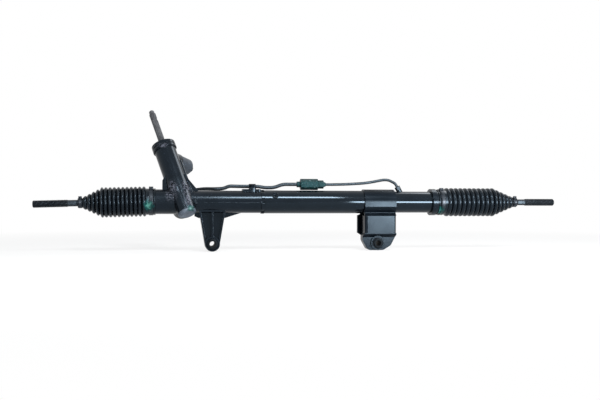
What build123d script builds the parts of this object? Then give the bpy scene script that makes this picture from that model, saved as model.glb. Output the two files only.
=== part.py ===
from build123d import *
from math import acos, asin, cos, degrees, pi, radians, sin, sqrt, tan
import os

# Hydraulic rack-and-pinion steering gear, in millimetres.  The origin is the centre of the left
# mounting bush, +X runs to the right along the rack, +Y to the rear and +Z up.

# ---- Driving dimensions -------------------------------------------------------------------------
rack_height = 92.0  # rack axis above the mounting bushes
mount_spacing = 370.0  # left bush to right bush
clearance = 0.05  # radial running clearance of shafts and bushes

# Gear mesh
pinion_teeth = 7
module = 2.2  # normal module
pressure_angle = 20.0
pinion_helix = 25.0
pinion_lean = 17.15  # the pinion axis leans to the left at the top
pinion_tilt = 26.25  # and to the rear
profile_shift = 0.5
backlash = 0.08
pinion_face = 40.0
pinion_x = -65.5  # where the pinion crosses the rack

# Rack bar and its travel, from the rest position
rack_radius = 13.0
tooth_tip_height = 9.4  # flat of the teeth above the rack axis
travel_left = 82.0
travel_right = 40.0

# Tie rods, along each rod from its ball centre
left_ball_x = -158.5
right_ball_x = 584.5
ball_radius = 12.0
seat_wall = 2.4
ball_housing_radius = 18.5
ball_housing_back = 26.0
shank_radius = 7.0
thread_radius = 8.0
thread_length = 72.0
rod_length = 220.0
left_rod_droop = 1.5  # the left rod hangs a little at rest
flats_start = 130.0
flats_length = 17.0
flats_across = 12.0

# Cast housing, along the rack
housing_left_end = -141.0
housing_bore_radius = 19.5
case_radius = 27.0
case_right_end = -38.0
cast_tube_radius = 24.75
cast_tube_end = 107.5
spigot_end = 117.5
seal_start = 98.0
seal_length = 12.0
shoulder = 4.0

# Pinion tower, along the pinion axis
tower_radius = 23.7
tower_foot_radius = 21.0
tower_bottom = -34.0
tower_top = 133.0
pinion_chamber_radius = 15.0
valve_bore_radius = 17.5
valve_bore_start = 38.0
cap_radius = 19.8
cap_thickness = 7.5
cover_radius = 26.5
cover_top = 139.6
line_angle = 149.2  # line ports, solenoid and hose ports, turned from the front to the right
solenoid_angle = 144.2
port_angle = -168.8
shaft_top = 231.0
shaft_radius = 7.3

# Steel cylinder tube, along the rack
cylinder_bore_radius = 21.5
cylinder_radius = 25.75
cylinder_step_x = 345.0
cylinder_end_radius = 24.25
cylinder_right_end = 533.5
collar_start = 499.5
collar_width = 11.0
collar_radius = 30.3
bush_start = 442.0
bush_length = 24.0
outer_seal_length = 8.0
retainer_width = 3.0
lock_ring_width = 7.0
lock_ring_radius = 26.7
right_port_x = 427.8
right_port_lean = 30.0
left_port_x = 124.0
piston_x = 290.0
piston_width = 14.0
ring_width = 3.0

# Right bracket, pressed from sheet
sheet = 3.0
bracket_left = 340.0
bracket_right = 412.5
bracket_flare = 4.5  # the foot of the front half spreads to the left
rear_half_left = 333.0
bracket_depth = 26.5  # from the rack axis to the centre of each flat
bracket_fold = -31.0  # heights from the rack axis
bracket_step = -72.5
bracket_bottom = -108.0
bracket_recess = 6.0

# Mounting bushes
bush_core_bore_radius = 6.25
bush_core_radius = 9.0
bush_sleeve_inner_radius = 11.8
bush_sleeve_radius = 13.2
bush_core_length = 60.0
bush_sleeve_length = 50.0
boss_radius = 16.3
boss_length = 48.0

# Bellows, along the rack from the housing
ridge_radius = 32.7
valley_radius = 28.0
bellows_wall = 1.4
ridge_count = 15
cuff_radius = 28.6
cuff_length = 19.0
cuff_neck_radius = 27.0
small_end_radius = 10.0
small_end_length = 10.0
small_clamp_at = 117.0  # from the ball centre
cone_ridges = 4
clamp_width = 9.0
small_clamp_width = 7.0
clamp_band = 1.3
ear_angle = 20.0
ear_thickness = 5.0
ear_height = 5.0
cuff_overrun = 2.0

# Hydraulic lines
line_radius = 4.0
cylinder_line_radius = 3.2
line_y = 8.0
union_start = 190.3
union_height = 39.4  # above the rack axis
clip_x = 89.5
clip_height = 34.2
clip_width = 15.0
clip_sheet = 1.8
clip_boss_y = -6.0
clip_overlap = 6.0
clip_bolt_radius, clip_bolt_height = 6.5, 6.0

# ---- Derived geometry ---------------------------------------------------------------------------
lean, tilt = radians(pinion_lean), radians(pinion_tilt)
rack_origin = Vector(0, 0, rack_height)
along_rack = Vector(1, 0, 0)
pinion_direction = Vector(-sin(lean), cos(lean) * sin(tilt), cos(lean) * cos(tilt))
across_teeth = Vector(0, sin(tilt), cos(tilt))
mesh_normal = Vector(0, -cos(tilt), sin(tilt))  # from the rack axis towards the pinion

helix = radians(pinion_helix)
rack_tooth_angle = helix - lean
pitch_radius = pinion_teeth * module / (2 * cos(helix))
pitch_line_height = tooth_tip_height - (1 - profile_shift) * module
centre_distance = pitch_line_height + pitch_radius
pinion_outer_radius = pitch_radius + (1 + profile_shift) * module
pinion_root_radius = pitch_radius - (1.25 - profile_shift) * module
rack_pitch = pi * module / cos(rack_tooth_angle)
travel_per_turn = pinion_teeth * rack_pitch
gear_origin = rack_origin + along_rack * pinion_x
pinion_origin = gear_origin + mesh_normal * centre_distance

tower_right = pinion_direction.cross(mesh_normal)


def around_tower(angle):
    """Direction out from the pinion axis, turned from the front to the right."""
    return mesh_normal * cos(radians(angle)) + tower_right * sin(radians(angle))


line_direction = around_tower(line_angle)
solenoid_direction = around_tower(solenoid_angle)
port_direction = around_tower(port_angle)


# ---- Shared helpers -----------------------------------------------------------------------------
def half_plane(origin, direction):
    """Sketch plane whose x runs along a turning axis and whose y runs out from it."""
    axis = Vector(*direction).normalized()
    outward = Vector(0, 0, 1) - axis * axis.Z
    return Plane(origin=origin, x_dir=axis, z_dir=axis.cross(outward))


def turn(origin, direction, *rings, mode=Mode.ADD):
    """Revolve rings, each (start, end, inner radius, outer radius), about a line."""
    with BuildSketch(half_plane(origin, direction)) as section:
        for start, end, inner, outer in rings:
            with Locations(((start + end) / 2, (inner + outer) / 2)):
                Rectangle(end - start, outer - inner)
    revolve(section.sketch, axis=Axis(origin, direction), mode=mode)


def turn_outline(origin, direction, points, mode=Mode.ADD):
    """Revolve a closed outline of (distance along, radius) points about a line."""
    with BuildSketch(half_plane(origin, direction)) as section:
        with BuildLine():
            Polyline(*points, close=True)
        make_face()
    revolve(section.sketch, axis=Axis(origin, direction), mode=mode)


def above_rack(x, y, height):
    """Point given by its height over the rack axis."""
    return Vector(x, y, rack_height + height)


def save(piece, name):
    piece.part.label = name
    export_step(piece.part, f"parts/{name}.step")


os.makedirs("parts", exist_ok=True)

# ---- Cast rack housing --------------------------------------------------------------------------
post_top_width = 58.0
post_bottom_width = 33.0
post_top = -18.0
post_depth = 34.0
post_flange = 4.0
post_rib = 4.0
post_web = 8.0
web_thickness = 14.0
web_left = -107.8
web_right = -30.0
web_top = 60.0
web_shoulder = 24.0
web_outer_height, web_corner = 46.0, (6.0, 3.0)
fin_depth = 36.0
fin_rise = 4.0
fin_right = 86.0
fin_y = 9.0
fin_thickness = 7.0
gallery_radius = 3.6
gallery_angle = 80.0
gallery_bottom, gallery_top = -25.0, 88.0
plug_angle, plug_s, plug_radius = -33.0, 28.0, 6.5
plug_boss_height, plug_boss_wall, plug_start = 1.5, 2.0, 18.0
plug_rim, plug_rim_thickness = 1.2, 1.3
plug_socket_radius, plug_socket_depth = 3.4, 5.0
yoke_radius = 14.0
yoke_boss_radius = 20.0
yoke_boss_end = 46.0
solenoid_s = 101.5
solenoid_radius = 19.0
solenoid_start, solenoid_end = 30.0, 74.0
solenoid_seat_radius = 9.0
solenoid_rim, solenoid_rim_width, solenoid_chamfer = 1.2, 3.0, 2.0
drilling_start = 10.0
seal_shoulder_play = 2.5
port_radius, port_boss_radius, port_reach = 8.0, 11.5, 30.0
port_depth = 10.0
pressure_port_s, return_port_s = 84.0, 60.0
line_port_s, short_port_s = 36.0, 54.0
line_boss_reach, line_boss_radius = 27.0, 8.5
drilling_radius = 2.5
clip_boss_height, clip_boss_radius = 31.0, 7.0
clip_pad_left, clip_pad_right = 66.0, 107.0
clip_pad_y, clip_pad_depth, clip_pad_height = 1.0, 26.0, 28.2
bearing_seat_radius, bearing_seat_top = 16.0, -24.0
chamber_top, pinion_neck_radius = 24.0, 13.0
foot_taper_start, foot_taper_end = 8.0, 20.0
overcut = 1.0  # how far a cut runs past the face that it opens

front_plane = Plane(origin=rack_origin, x_dir=(1, 0, 0), z_dir=(0, -1, 0))


def tower_point(s, reach=0, direction=mesh_normal):
    """Point at a height up the pinion axis and a distance out from it."""
    return pinion_origin + pinion_direction * s + direction * reach


def post_outline():
    """Front view of the post, which narrows down to the boss."""
    Polyline(
        (-post_top_width / 2, post_top),
        (post_top_width / 2, post_top),
        (post_bottom_width / 2, -rack_height),
        (-post_bottom_width / 2, -rack_height),
        close=True,
    )


with BuildPart() as rack_housing:
    # Post down to the left mounting boss: edge flanges, thin web and middle rib
    with BuildSketch(front_plane) as post:
        with BuildLine():
            post_outline()
        make_face()
    extrude(post.sketch, amount=post_depth / 2, both=True)
    for facing in (1, -1):
        with BuildSketch(front_plane.offset(facing * post_web / 2)) as pocket:
            with BuildLine():
                post_outline()
            make_face()
            offset(amount=-post_flange, kind=Kind.INTERSECTION)
            with Locations((0, -rack_height / 2)):
                Rectangle(post_rib, rack_height, mode=Mode.SUBTRACT)
        extrude(pocket.sketch, amount=facing * post_depth, mode=Mode.SUBTRACT)
    turn((0, 0, 0), (0, 1, 0), (-boss_length / 2, boss_length / 2, 0, boss_radius))
    # Fin under the tube that carries the post
    with BuildSketch(front_plane.offset(-fin_y)) as fin:
        with BuildLine():
            Polyline(
                (case_right_end, post_top),
                (case_right_end, -fin_depth + fin_rise),
                (-post_top_width / 2, -fin_depth),
                (post_top_width / 2, -fin_depth),
                (fin_right, post_top),
                close=True,
            )
        make_face()
    extrude(fin.sketch, amount=fin_thickness / 2, both=True)
    # Webs that brace the tower against the tube, left and right
    with BuildSketch(front_plane) as webs:
        with BuildLine():
            Polyline(
                (web_left, 0),
                (web_left, web_outer_height),
                (web_left + web_corner[0], web_top - web_corner[1]),
                (web_right - web_top / 2, web_top),
                (web_right, web_shoulder),
                (web_right, 0),
                close=True,
            )
        make_face()
    extrude(webs.sketch, amount=web_thickness / 2, both=True)
    # Tube along the rack: bellows neck, gear case and left cylinder tube
    turn(
        rack_origin,
        along_rack,
        (housing_left_end, housing_left_end + cuff_length, 0, cuff_neck_radius),
        (housing_left_end + cuff_length, case_right_end, 0, case_radius),
        (case_right_end, cast_tube_end, 0, cast_tube_radius),
    )
    # Tower around the pinion and valve, with its oil gallery
    turn_outline(
        pinion_origin,
        pinion_direction,
        [
            (tower_bottom, 0),
            (tower_bottom, tower_foot_radius),
            (foot_taper_start, tower_foot_radius),
            (foot_taper_end, tower_radius),
            (tower_top, tower_radius),
            (tower_top, 0),
        ],
    )
    with BuildSketch(
        Plane(origin=tower_point(bearing_seat_top), x_dir=mesh_normal, z_dir=pinion_direction)
    ) as mesh_case:
        with Locations((-centre_distance / 2, 0)):
            SlotCenterToCenter(centre_distance, 2 * tower_foot_radius)
    extrude(mesh_case.sketch, amount=chamber_top - bearing_seat_top)
    gallery_line = around_tower(gallery_angle)
    turn(
        pinion_origin + gallery_line * tower_radius,
        pinion_direction,
        (gallery_bottom, gallery_top, 0, gallery_radius),
    )
    turn(
        tower_point(plug_s),
        around_tower(plug_angle),
        (0, tower_radius + plug_boss_height, 0, plug_radius + plug_boss_wall),
    )
    # Yoke boss behind the rack, solenoid seat, hose ports, line ports and clip boss
    turn(gear_origin, -mesh_normal, (0, yoke_boss_end, 0, yoke_boss_radius))
    turn(tower_point(solenoid_s), solenoid_direction, (0, solenoid_start, 0, solenoid_radius + 1))
    for s in (pressure_port_s, return_port_s):
        turn(tower_point(s), port_direction, (0, port_reach, 0, port_boss_radius))
    for s in (line_port_s, short_port_s):
        turn(tower_point(s), line_direction, (0, line_boss_reach, 0, line_boss_radius))
    with BuildSketch(Plane.XY.offset(rack_height)) as clip_boss:
        with Locations((clip_x, clip_boss_y)):
            Circle(clip_boss_radius)
    extrude(clip_boss.sketch, amount=clip_boss_height)
    with BuildSketch(Plane.XY.offset(rack_height)) as clip_pad:
        with Locations(((clip_pad_left + clip_pad_right) / 2, clip_pad_y)):
            RectangleRounded(clip_pad_right - clip_pad_left, clip_pad_depth, clip_boss_radius / 2)
    extrude(clip_pad.sketch, amount=clip_pad_height)
    # Spigot that centres the cylinder tube, and the bore for the rack with its seal shoulder
    turn(rack_origin, along_rack, (cast_tube_end - 1, spigot_end, 0, cylinder_bore_radius))
    turn(
        rack_origin,
        along_rack,
        (housing_left_end - overcut, seal_start - shoulder, 0, housing_bore_radius),
        (seal_start - shoulder, seal_start, 0, rack_radius + seal_shoulder_play),
        (seal_start, spigot_end + overcut, 0, housing_bore_radius),
        mode=Mode.SUBTRACT,
    )
    # Stepped bore up the tower
    turn(
        pinion_origin,
        pinion_direction,
        (tower_bottom - overcut, bearing_seat_top, 0, bearing_seat_radius),
        (bearing_seat_top, chamber_top, 0, pinion_chamber_radius),
        (chamber_top, valve_bore_start, 0, pinion_neck_radius),
        (valve_bore_start, tower_top + overcut, 0, valve_bore_radius),
        mode=Mode.SUBTRACT,
    )
    yoke_bore = (0, yoke_boss_end + overcut, 0, yoke_radius + clearance)
    turn(gear_origin, -mesh_normal, yoke_bore, mode=Mode.SUBTRACT)
    turn(
        tower_point(solenoid_s),
        solenoid_direction,
        (drilling_start, solenoid_start + overcut, 0, solenoid_seat_radius),
        mode=Mode.SUBTRACT,
    )
    turn(
        tower_point(plug_s),
        around_tower(plug_angle),
        (plug_start, tower_radius + plug_boss_height + overcut, 0, plug_radius),
        mode=Mode.SUBTRACT,
    )
    for s in (pressure_port_s, return_port_s):
        turn(
            tower_point(s),
            port_direction,
            (drilling_start, port_reach - port_depth, 0, drilling_radius),
            (port_reach - port_depth, port_reach + overcut, 0, port_radius),
            mode=Mode.SUBTRACT,
        )
    for s in (line_port_s, short_port_s):
        turn(
            tower_point(s),
            line_direction,
            (drilling_start, line_boss_reach + overcut, 0, drilling_radius),
            mode=Mode.SUBTRACT,
        )
    turn((0, 0, 0), (0, 1, 0), (-boss_length, boss_length, 0, bush_sleeve_radius), mode=Mode.SUBTRACT)
save(rack_housing, "rack_housing")

cap_flat_radius = 13.8
cap_round_radius, cap_round_height = 17.8, 1.5
cap_edge_height = 3.5
cap_lip_radius, cap_lip_height = 12.5, 2.0
fit_gap = 0.1

with BuildPart() as pinion_cap:
    cap_bottom = tower_bottom - cap_thickness
    turn_outline(
        pinion_origin,
        pinion_direction,
        [
            (cap_bottom, 0),
            (cap_bottom, cap_flat_radius),
            (cap_bottom + cap_round_height, cap_round_radius),
            (cap_bottom + cap_edge_height, cap_radius),
            (tower_bottom, cap_radius),
            (tower_bottom, 0),
        ],
    )
    turn(
        pinion_origin,
        pinion_direction,
        (tower_bottom, tower_bottom + cap_lip_height, cap_lip_radius, bearing_seat_radius - fit_gap),
    )
save(pinion_cap, "pinion_cap")

cover_skirt = 11.0
groove_depth, groove_width, groove_pitch = 1.2, 2.0, 7.0
cover_edge, cover_slope = 1.5, 2.5
seal_pocket_radius, seal_pocket_bottom_radius, seal_pocket_depth = 14.0, 12.0, 3.0
shaft_hole_play = 1.0

with BuildPart() as valve_cover:
    cover_bottom = tower_top - cover_skirt
    upper_groove = cover_bottom + groove_pitch
    turn_outline(
        pinion_origin,
        pinion_direction,
        [
            (cover_bottom, tower_radius),
            (cover_bottom, cover_radius - groove_depth),
            (cover_bottom + groove_width, cover_radius - groove_depth),
            (cover_bottom + groove_width, cover_radius),
            (upper_groove, cover_radius),
            (upper_groove, cover_radius - groove_depth),
            (upper_groove + groove_width, cover_radius - groove_depth),
            (upper_groove + groove_width, cover_radius),
            (cover_top - cover_edge, cover_radius),
            (cover_top, cover_radius - cover_slope),
            (cover_top, seal_pocket_radius),
            (cover_top - seal_pocket_depth, seal_pocket_bottom_radius),
            (cover_top - seal_pocket_depth, shaft_radius + shaft_hole_play),
            (tower_top, shaft_radius + shaft_hole_play),
            (tower_top, tower_radius),
        ],
    )
save(valve_cover, "valve_cover")

with BuildPart() as gallery_plug:
    plug_seat = tower_radius + plug_boss_height
    turn(
        tower_point(plug_s),
        around_tower(plug_angle),
        (plug_start, plug_seat, 0, plug_radius),
        (plug_seat, plug_seat + plug_rim_thickness, 0, plug_radius + plug_rim),
    )
    with BuildSketch(
        Plane(
            origin=tower_point(plug_s, plug_seat + plug_rim_thickness, around_tower(plug_angle)),
            z_dir=around_tower(plug_angle),
        )
    ) as socket:
        RegularPolygon(plug_socket_radius, 6)
    extrude(socket.sketch, amount=-plug_socket_depth, mode=Mode.SUBTRACT)
save(gallery_plug, "gallery_plug")

with BuildPart() as solenoid:
    turn_outline(
        tower_point(solenoid_s),
        solenoid_direction,
        [
            (valve_bore_radius + 1, 0),
            (valve_bore_radius + 1, solenoid_seat_radius),
            (solenoid_start, solenoid_seat_radius),
            (solenoid_start, solenoid_radius + solenoid_rim),
            (solenoid_start + solenoid_rim_width, solenoid_radius + solenoid_rim),
            (solenoid_start + solenoid_rim_width, solenoid_radius),
            (solenoid_end - solenoid_chamfer, solenoid_radius),
            (solenoid_end, solenoid_radius - solenoid_chamfer),
            (solenoid_end, 0),
        ],
    )
save(solenoid, "solenoid")

connector_base_radius, connector_base_length = 9.5, 6.0
connector_radius, socket_radius, connector_length = 8.6, 7.0, 15.0

with BuildPart() as solenoid_connector:
    connector_base = solenoid_end + connector_base_length
    turn(
        tower_point(solenoid_s),
        solenoid_direction,
        (solenoid_end, connector_base, 0, connector_base_radius),
        (connector_base, solenoid_end + connector_length, socket_radius, connector_radius),
    )
save(solenoid_connector, "solenoid_connector")

# ---- Rack yoke and its adjuster -----------------------------------------------------------------
yoke_length = 14.0  # behind the rack bar
yoke_skirt_radius, yoke_hollow_start = 11.0, 19.0
spring_wire, spring_coil_radius = 2.0, 8.0
spring_pitch, spring_length = 5.0, 15.0
yoke_plug_start, yoke_plug_end = 33.0, 50.0
adjuster_radius = 11.0
lock_nut_radius, lock_nut_width = 18.0, 4.0
plug_hollow_end, plug_hollow_gap = 36.0, 0.5
yoke_face = 2.0  # from the rack axis to the yoke's front

with BuildPart() as rack_yoke:
    yoke_end = rack_radius + yoke_length
    turn(gear_origin, -mesh_normal, (0, yoke_end, 0, yoke_radius))
    turn(
        gear_origin,
        -mesh_normal,
        (yoke_hollow_start, yoke_end + overcut, 0, yoke_skirt_radius),
        mode=Mode.SUBTRACT,
    )
    turn(
        rack_origin,
        along_rack,
        (pinion_x - yoke_radius - overcut, pinion_x + yoke_radius + overcut, 0, rack_radius + clearance),
        mode=Mode.SUBTRACT,
    )
    split(bisect_by=Plane(origin=gear_origin - mesh_normal * yoke_face, z_dir=-mesh_normal), keep=Keep.TOP)
save(rack_yoke, "rack_yoke")

with BuildPart() as yoke_plug:
    turn(
        gear_origin,
        -mesh_normal,
        (yoke_plug_start, yoke_boss_end, 0, yoke_radius),
        (yoke_boss_end, yoke_plug_end, 0, adjuster_radius),
    )
    turn(
        gear_origin,
        -mesh_normal,
        (yoke_plug_start - overcut, plug_hollow_end, 0, yoke_skirt_radius - plug_hollow_gap),
        mode=Mode.SUBTRACT,
    )
save(yoke_plug, "yoke_plug")

with BuildPart() as yoke_lock_nut:
    nut_seat = gear_origin - mesh_normal * yoke_boss_end
    with BuildSketch(Plane(origin=nut_seat, z_dir=-mesh_normal)) as nut_outline:
        RegularPolygon(lock_nut_radius, 6)
        Circle(adjuster_radius, mode=Mode.SUBTRACT)
    extrude(nut_outline.sketch, amount=lock_nut_width)
save(yoke_lock_nut, "yoke_lock_nut")

with BuildPart() as yoke_spring:
    with BuildLine() as coil:
        Helix(
            pitch=spring_pitch,
            height=spring_length,
            radius=spring_coil_radius,
            center=gear_origin - mesh_normal * (yoke_hollow_start + spring_wire / 2),
            direction=-mesh_normal,
        )
    with BuildSketch(Plane(origin=coil.line @ 0, z_dir=coil.line % 0)) as wire:
        Circle(spring_wire / 2)
    sweep(wire.sketch, path=coil.line, is_frenet=True)
save(yoke_spring, "yoke_spring")

# ---- Pinion, its bearings and the rotary valve --------------------------------------------------
lower_journal_radius = 7.0
upper_journal_radius = 9.5
bearing_width = 10.0
pinion_nut_start, pinion_nut_width, pinion_nut_radius = 1.0, 4.0, 11.0
bearing_gap = 0.5
head_bottom, head_top = 40.0, 50.0
sleeve_top = 112.0
spool_radius = 11.0
spool_start, spool_end = 52.0, 124.0
sleeve_radius = valve_bore_radius - 0.1
torsion_radius = 2.8
torsion_bottom, torsion_top = 30.0, 205.0
torsion_end_radius = 3.95
torsion_foot, torsion_head = 16.0, 14.0  # lengths of its thick ends
shaft_bore_radius = 4.0
serration_start = 150.0
tip_radius, tip_length = 5.8, 9.0
pinch_s, pinch_depth, pinch_radius = 206.0, 1.8, 5.0
seal_bottom = 126.0
land_width, land_count = 7.0, 4

pressure = radians(pressure_angle)
tan_transverse = tan(pressure) / cos(helix)
cos_transverse = 1 / sqrt(1 + tan_transverse**2)
base_radius = pitch_radius * cos_transverse
tooth_thickness = (pi / 2 + 2 * profile_shift * tan(pressure)) * module  # normal, at the pitch line
involute_at_pitch = tan_transverse - acos(cos_transverse)


def flank_angle(radius):
    """Half of the angle a pinion tooth spans at a radius, from the involute."""
    roll = acos(min(1.0, base_radius / radius))
    at_pitch = tooth_thickness / cos(helix) / (2 * pitch_radius)
    return at_pitch + involute_at_pitch - (tan(roll) - roll)


def polar(radius, angle):
    return (radius * cos(angle), radius * sin(angle))


def pinion_profile(points_per_flank=5):
    """Closed transverse outline of the pinion, drawn in the current line builder."""
    step = 2 * pi / pinion_teeth
    reach = pinion_outer_radius - base_radius
    radii = [base_radius + reach * (i / (points_per_flank - 1)) for i in range(points_per_flank)]
    root = flank_angle(base_radius)
    for tooth in range(pinion_teeth):
        middle = tooth * step
        rising = [polar(r, middle - flank_angle(r)) for r in radii]
        falling = [polar(r, middle + flank_angle(r)) for r in reversed(radii)]
        Line(polar(pinion_root_radius, middle - root), rising[0])
        Spline(*rising)
        ThreePointArc(rising[-1], polar(pinion_outer_radius, middle), falling[0])
        Spline(*falling)
        Line(falling[-1], polar(pinion_root_radius, middle + root))
        gap_end = polar(pinion_root_radius, middle + step - root)
        ThreePointArc(
            polar(pinion_root_radius, middle + root),
            polar(pinion_root_radius, middle + step / 2),
            gap_end,
        )


twist = -pinion_face * tan(helix) / pitch_radius
gear_frame = Plane(origin=pinion_origin, x_dir=-mesh_normal, z_dir=pinion_direction)
with BuildSketch() as gear_section:
    with BuildLine():
        pinion_profile()
    make_face()
gear = Solid.extrude_linear_with_rotation(
    gear_section.sketch.face(), (0, 0, 0), (0, 0, pinion_face), degrees(twist)
)
gear = gear.rotate(Axis.Z, -degrees(twist) / 2).moved(Location((0, 0, -pinion_face / 2)))
gear = gear.moved(gear_frame.location)

with BuildPart() as pinion:
    add(gear)
    turn(
        pinion_origin,
        pinion_direction,
        (tower_bottom + pinion_nut_start, -pinion_face / 2, 0, lower_journal_radius),
        (pinion_face / 2, head_bottom, 0, upper_journal_radius),
        (head_bottom, head_top, 0, sleeve_radius),
    )
    turn(
        pinion_origin,
        pinion_direction,
        (torsion_bottom, torsion_bottom + torsion_foot, 0, torsion_end_radius),
        (torsion_bottom + torsion_foot, head_top + overcut, 0, shaft_bore_radius),
        mode=Mode.SUBTRACT,
    )
save(pinion, "pinion")

with BuildPart() as pinion_nut:
    pinion_nut_bottom = tower_bottom + pinion_nut_start
    turn(
        pinion_origin,
        pinion_direction,
        (pinion_nut_bottom, pinion_nut_bottom + pinion_nut_width, lower_journal_radius, pinion_nut_radius),
    )
save(pinion_nut, "pinion_nut")

with BuildPart() as lower_pinion_bearing:
    lower_bearing_bottom = pinion_nut_bottom + pinion_nut_width + bearing_gap
    turn(
        pinion_origin,
        pinion_direction,
        (lower_bearing_bottom, bearing_seat_top, lower_journal_radius + clearance, bearing_seat_radius),
    )
save(lower_pinion_bearing, "lower_pinion_bearing")

with BuildPart() as upper_pinion_bearing:
    turn(
        pinion_origin,
        pinion_direction,
        (
            chamber_top + 1,
            chamber_top + 1 + bearing_width,
            upper_journal_radius + clearance,
            pinion_neck_radius,
        ),
    )
save(upper_pinion_bearing, "upper_pinion_bearing")

with BuildPart() as valve_sleeve:
    turn(
        pinion_origin,
        pinion_direction,
        (head_top, sleeve_top, spool_radius + clearance, sleeve_radius - 1.2),
    )
    land_gap = (sleeve_top - head_top - land_count * land_width) / (land_count - 1)
    for land in range(land_count):
        start = head_top + land * (land_width + land_gap)
        turn(
            pinion_origin,
            pinion_direction,
            (start, start + land_width, spool_radius + 1, sleeve_radius),
        )
save(valve_sleeve, "valve_sleeve")

with BuildPart() as torsion_bar:
    turn(
        pinion_origin,
        pinion_direction,
        (torsion_bottom, torsion_bottom + torsion_foot, 0, torsion_end_radius),
        (torsion_bottom + torsion_foot, torsion_top - torsion_head, 0, torsion_radius),
        (torsion_top - torsion_head, torsion_top, 0, torsion_end_radius),
    )
save(torsion_bar, "torsion_bar")

with BuildPart() as input_shaft:
    turn(
        pinion_origin,
        pinion_direction,
        (spool_start, spool_end, 0, spool_radius),
        (spool_end, serration_start, 0, shaft_radius + 0.2),
        (serration_start, shaft_top - tip_length, 0, shaft_radius),
        (shaft_top - tip_length, shaft_top, 0, tip_radius),
    )
    turn(
        pinion_origin,
        pinion_direction,
        (spool_start - 1, torsion_top + 0.5, 0, shaft_bore_radius),
        mode=Mode.SUBTRACT,
    )
    # Cross groove for the pinch bolt of the column joint
    turn(
        tower_point(pinch_s, shaft_radius - pinch_depth + pinch_radius, tower_right),
        mesh_normal,
        (-20, 20, 0, pinch_radius),
        mode=Mode.SUBTRACT,
    )
save(input_shaft, "input_shaft")

with BuildPart() as input_shaft_bearing:
    turn(
        pinion_origin,
        pinion_direction,
        (sleeve_top + 1, sleeve_top + 1 + bearing_width, spool_radius + clearance, valve_bore_radius),
    )
save(input_shaft_bearing, "input_shaft_bearing")

with BuildPart() as input_shaft_seal:
    turn(
        pinion_origin,
        pinion_direction,
        (seal_bottom, tower_top, shaft_radius + 0.2 + clearance, valve_bore_radius),
    )
save(input_shaft_seal, "input_shaft_seal")

# ---- Rack bar and piston ------------------------------------------------------------------------
tooth_space = tooth_thickness + backlash
tooth_depth = 2.25 * module
normal_pitch = pi * module
flat_left = travel_right + pinion_outer_radius + 1
flat_right = travel_left + pinion_outer_radius + 5
first_gap = -int((flat_left - 3) / rack_pitch)
last_gap = int((flat_right - 3) / rack_pitch)
rack_left_end = left_ball_x + ball_housing_back
rack_right_end = right_ball_x - ball_housing_back
stud_radius, stud_length = 8.0, 12.5
washer_thickness = 1.5
washer_radius = 15.0
addendum = (1 - profile_shift) * module

tooth_line = across_teeth * cos(rack_tooth_angle) + along_rack * sin(rack_tooth_angle)
across_line = along_rack * cos(rack_tooth_angle) - across_teeth * sin(rack_tooth_angle)
tooth_top = gear_origin + mesh_normal * tooth_tip_height

with BuildPart() as rack_bar:
    turn(rack_origin, along_rack, (rack_left_end, rack_right_end, 0, rack_radius))
    with BuildSketch(Plane(origin=tooth_top, x_dir=along_rack, z_dir=mesh_normal)) as flat:
        with Locations(((flat_right - flat_left) / 2, 0)):
            Rectangle(flat_left + flat_right, 2 * rack_radius)
    extrude(flat.sketch, amount=rack_radius, mode=Mode.SUBTRACT)
    slope = tan(pressure)
    top = tooth_space / 2 + (addendum + 1) * slope
    bottom = tooth_space / 2 + (addendum - tooth_depth) * slope
    with BuildSketch(Plane(origin=tooth_top, x_dir=across_line, z_dir=-tooth_line)) as all_spaces:
        with BuildSketch(mode=Mode.PRIVATE) as one_space:
            with BuildLine():
                Polyline((-top, 1), (-bottom, -tooth_depth), (bottom, -tooth_depth), (top, 1), close=True)
            make_face()
        with Locations(*[(k * normal_pitch, 0) for k in range(first_gap, last_gap + 1)]):
            add(one_space.sketch)
    extrude(all_spaces.sketch, amount=2 * rack_radius, both=True, mode=Mode.SUBTRACT)
    for end, inward in ((rack_left_end, 1), (rack_right_end, -1)):
        turn(
            above_rack(end, 0, 0),
            along_rack * inward,
            (-1, stud_length, 0, stud_radius),
            mode=Mode.SUBTRACT,
        )
save(rack_bar, "rack_bar")

with BuildPart() as piston:
    turn(
        above_rack(piston_x, 0, 0),
        along_rack,
        (-piston_width / 2, piston_width / 2, rack_radius, cylinder_bore_radius - 0.3),
    )
    turn(
        above_rack(piston_x, 0, 0),
        along_rack,
        (-ring_width / 2, ring_width / 2, 19, cylinder_bore_radius),
        mode=Mode.SUBTRACT,
    )
save(piston, "piston")

with BuildPart() as piston_ring:
    turn(
        above_rack(piston_x, 0, 0),
        along_rack,
        (-ring_width / 2, ring_width / 2, 19, cylinder_bore_radius - clearance),
    )
save(piston_ring, "piston_ring")

with BuildPart() as rack_seals:
    for start, length, seat in (
        (seal_start, seal_length, housing_bore_radius),
        (bush_start - outer_seal_length, outer_seal_length, cylinder_bore_radius),
    ):
        turn(
            rack_origin, along_rack, (start, start + length, rack_radius + clearance, seat)
        )
save(rack_seals, "rack_seals")

with BuildPart() as rack_bush:
    turn(
        rack_origin,
        along_rack,
        (bush_start, bush_start + bush_length, rack_radius + clearance, cylinder_bore_radius),
    )
save(rack_bush, "rack_bush")

with BuildPart() as bush_retainer:
    start = bush_start + bush_length
    turn(
        rack_origin,
        along_rack,
        (start, start + retainer_width, rack_radius + 3, cylinder_bore_radius),
    )
save(bush_retainer, "bush_retainer")

# ---- Inner ball joints and tie rods -------------------------------------------------------------
seat_outer_radius = ball_radius + clearance + seat_wall
housing_mouth = 8.5
seat_mouth = 6.5
neck_start = 9.0
spanner_flats = 30.0


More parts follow.
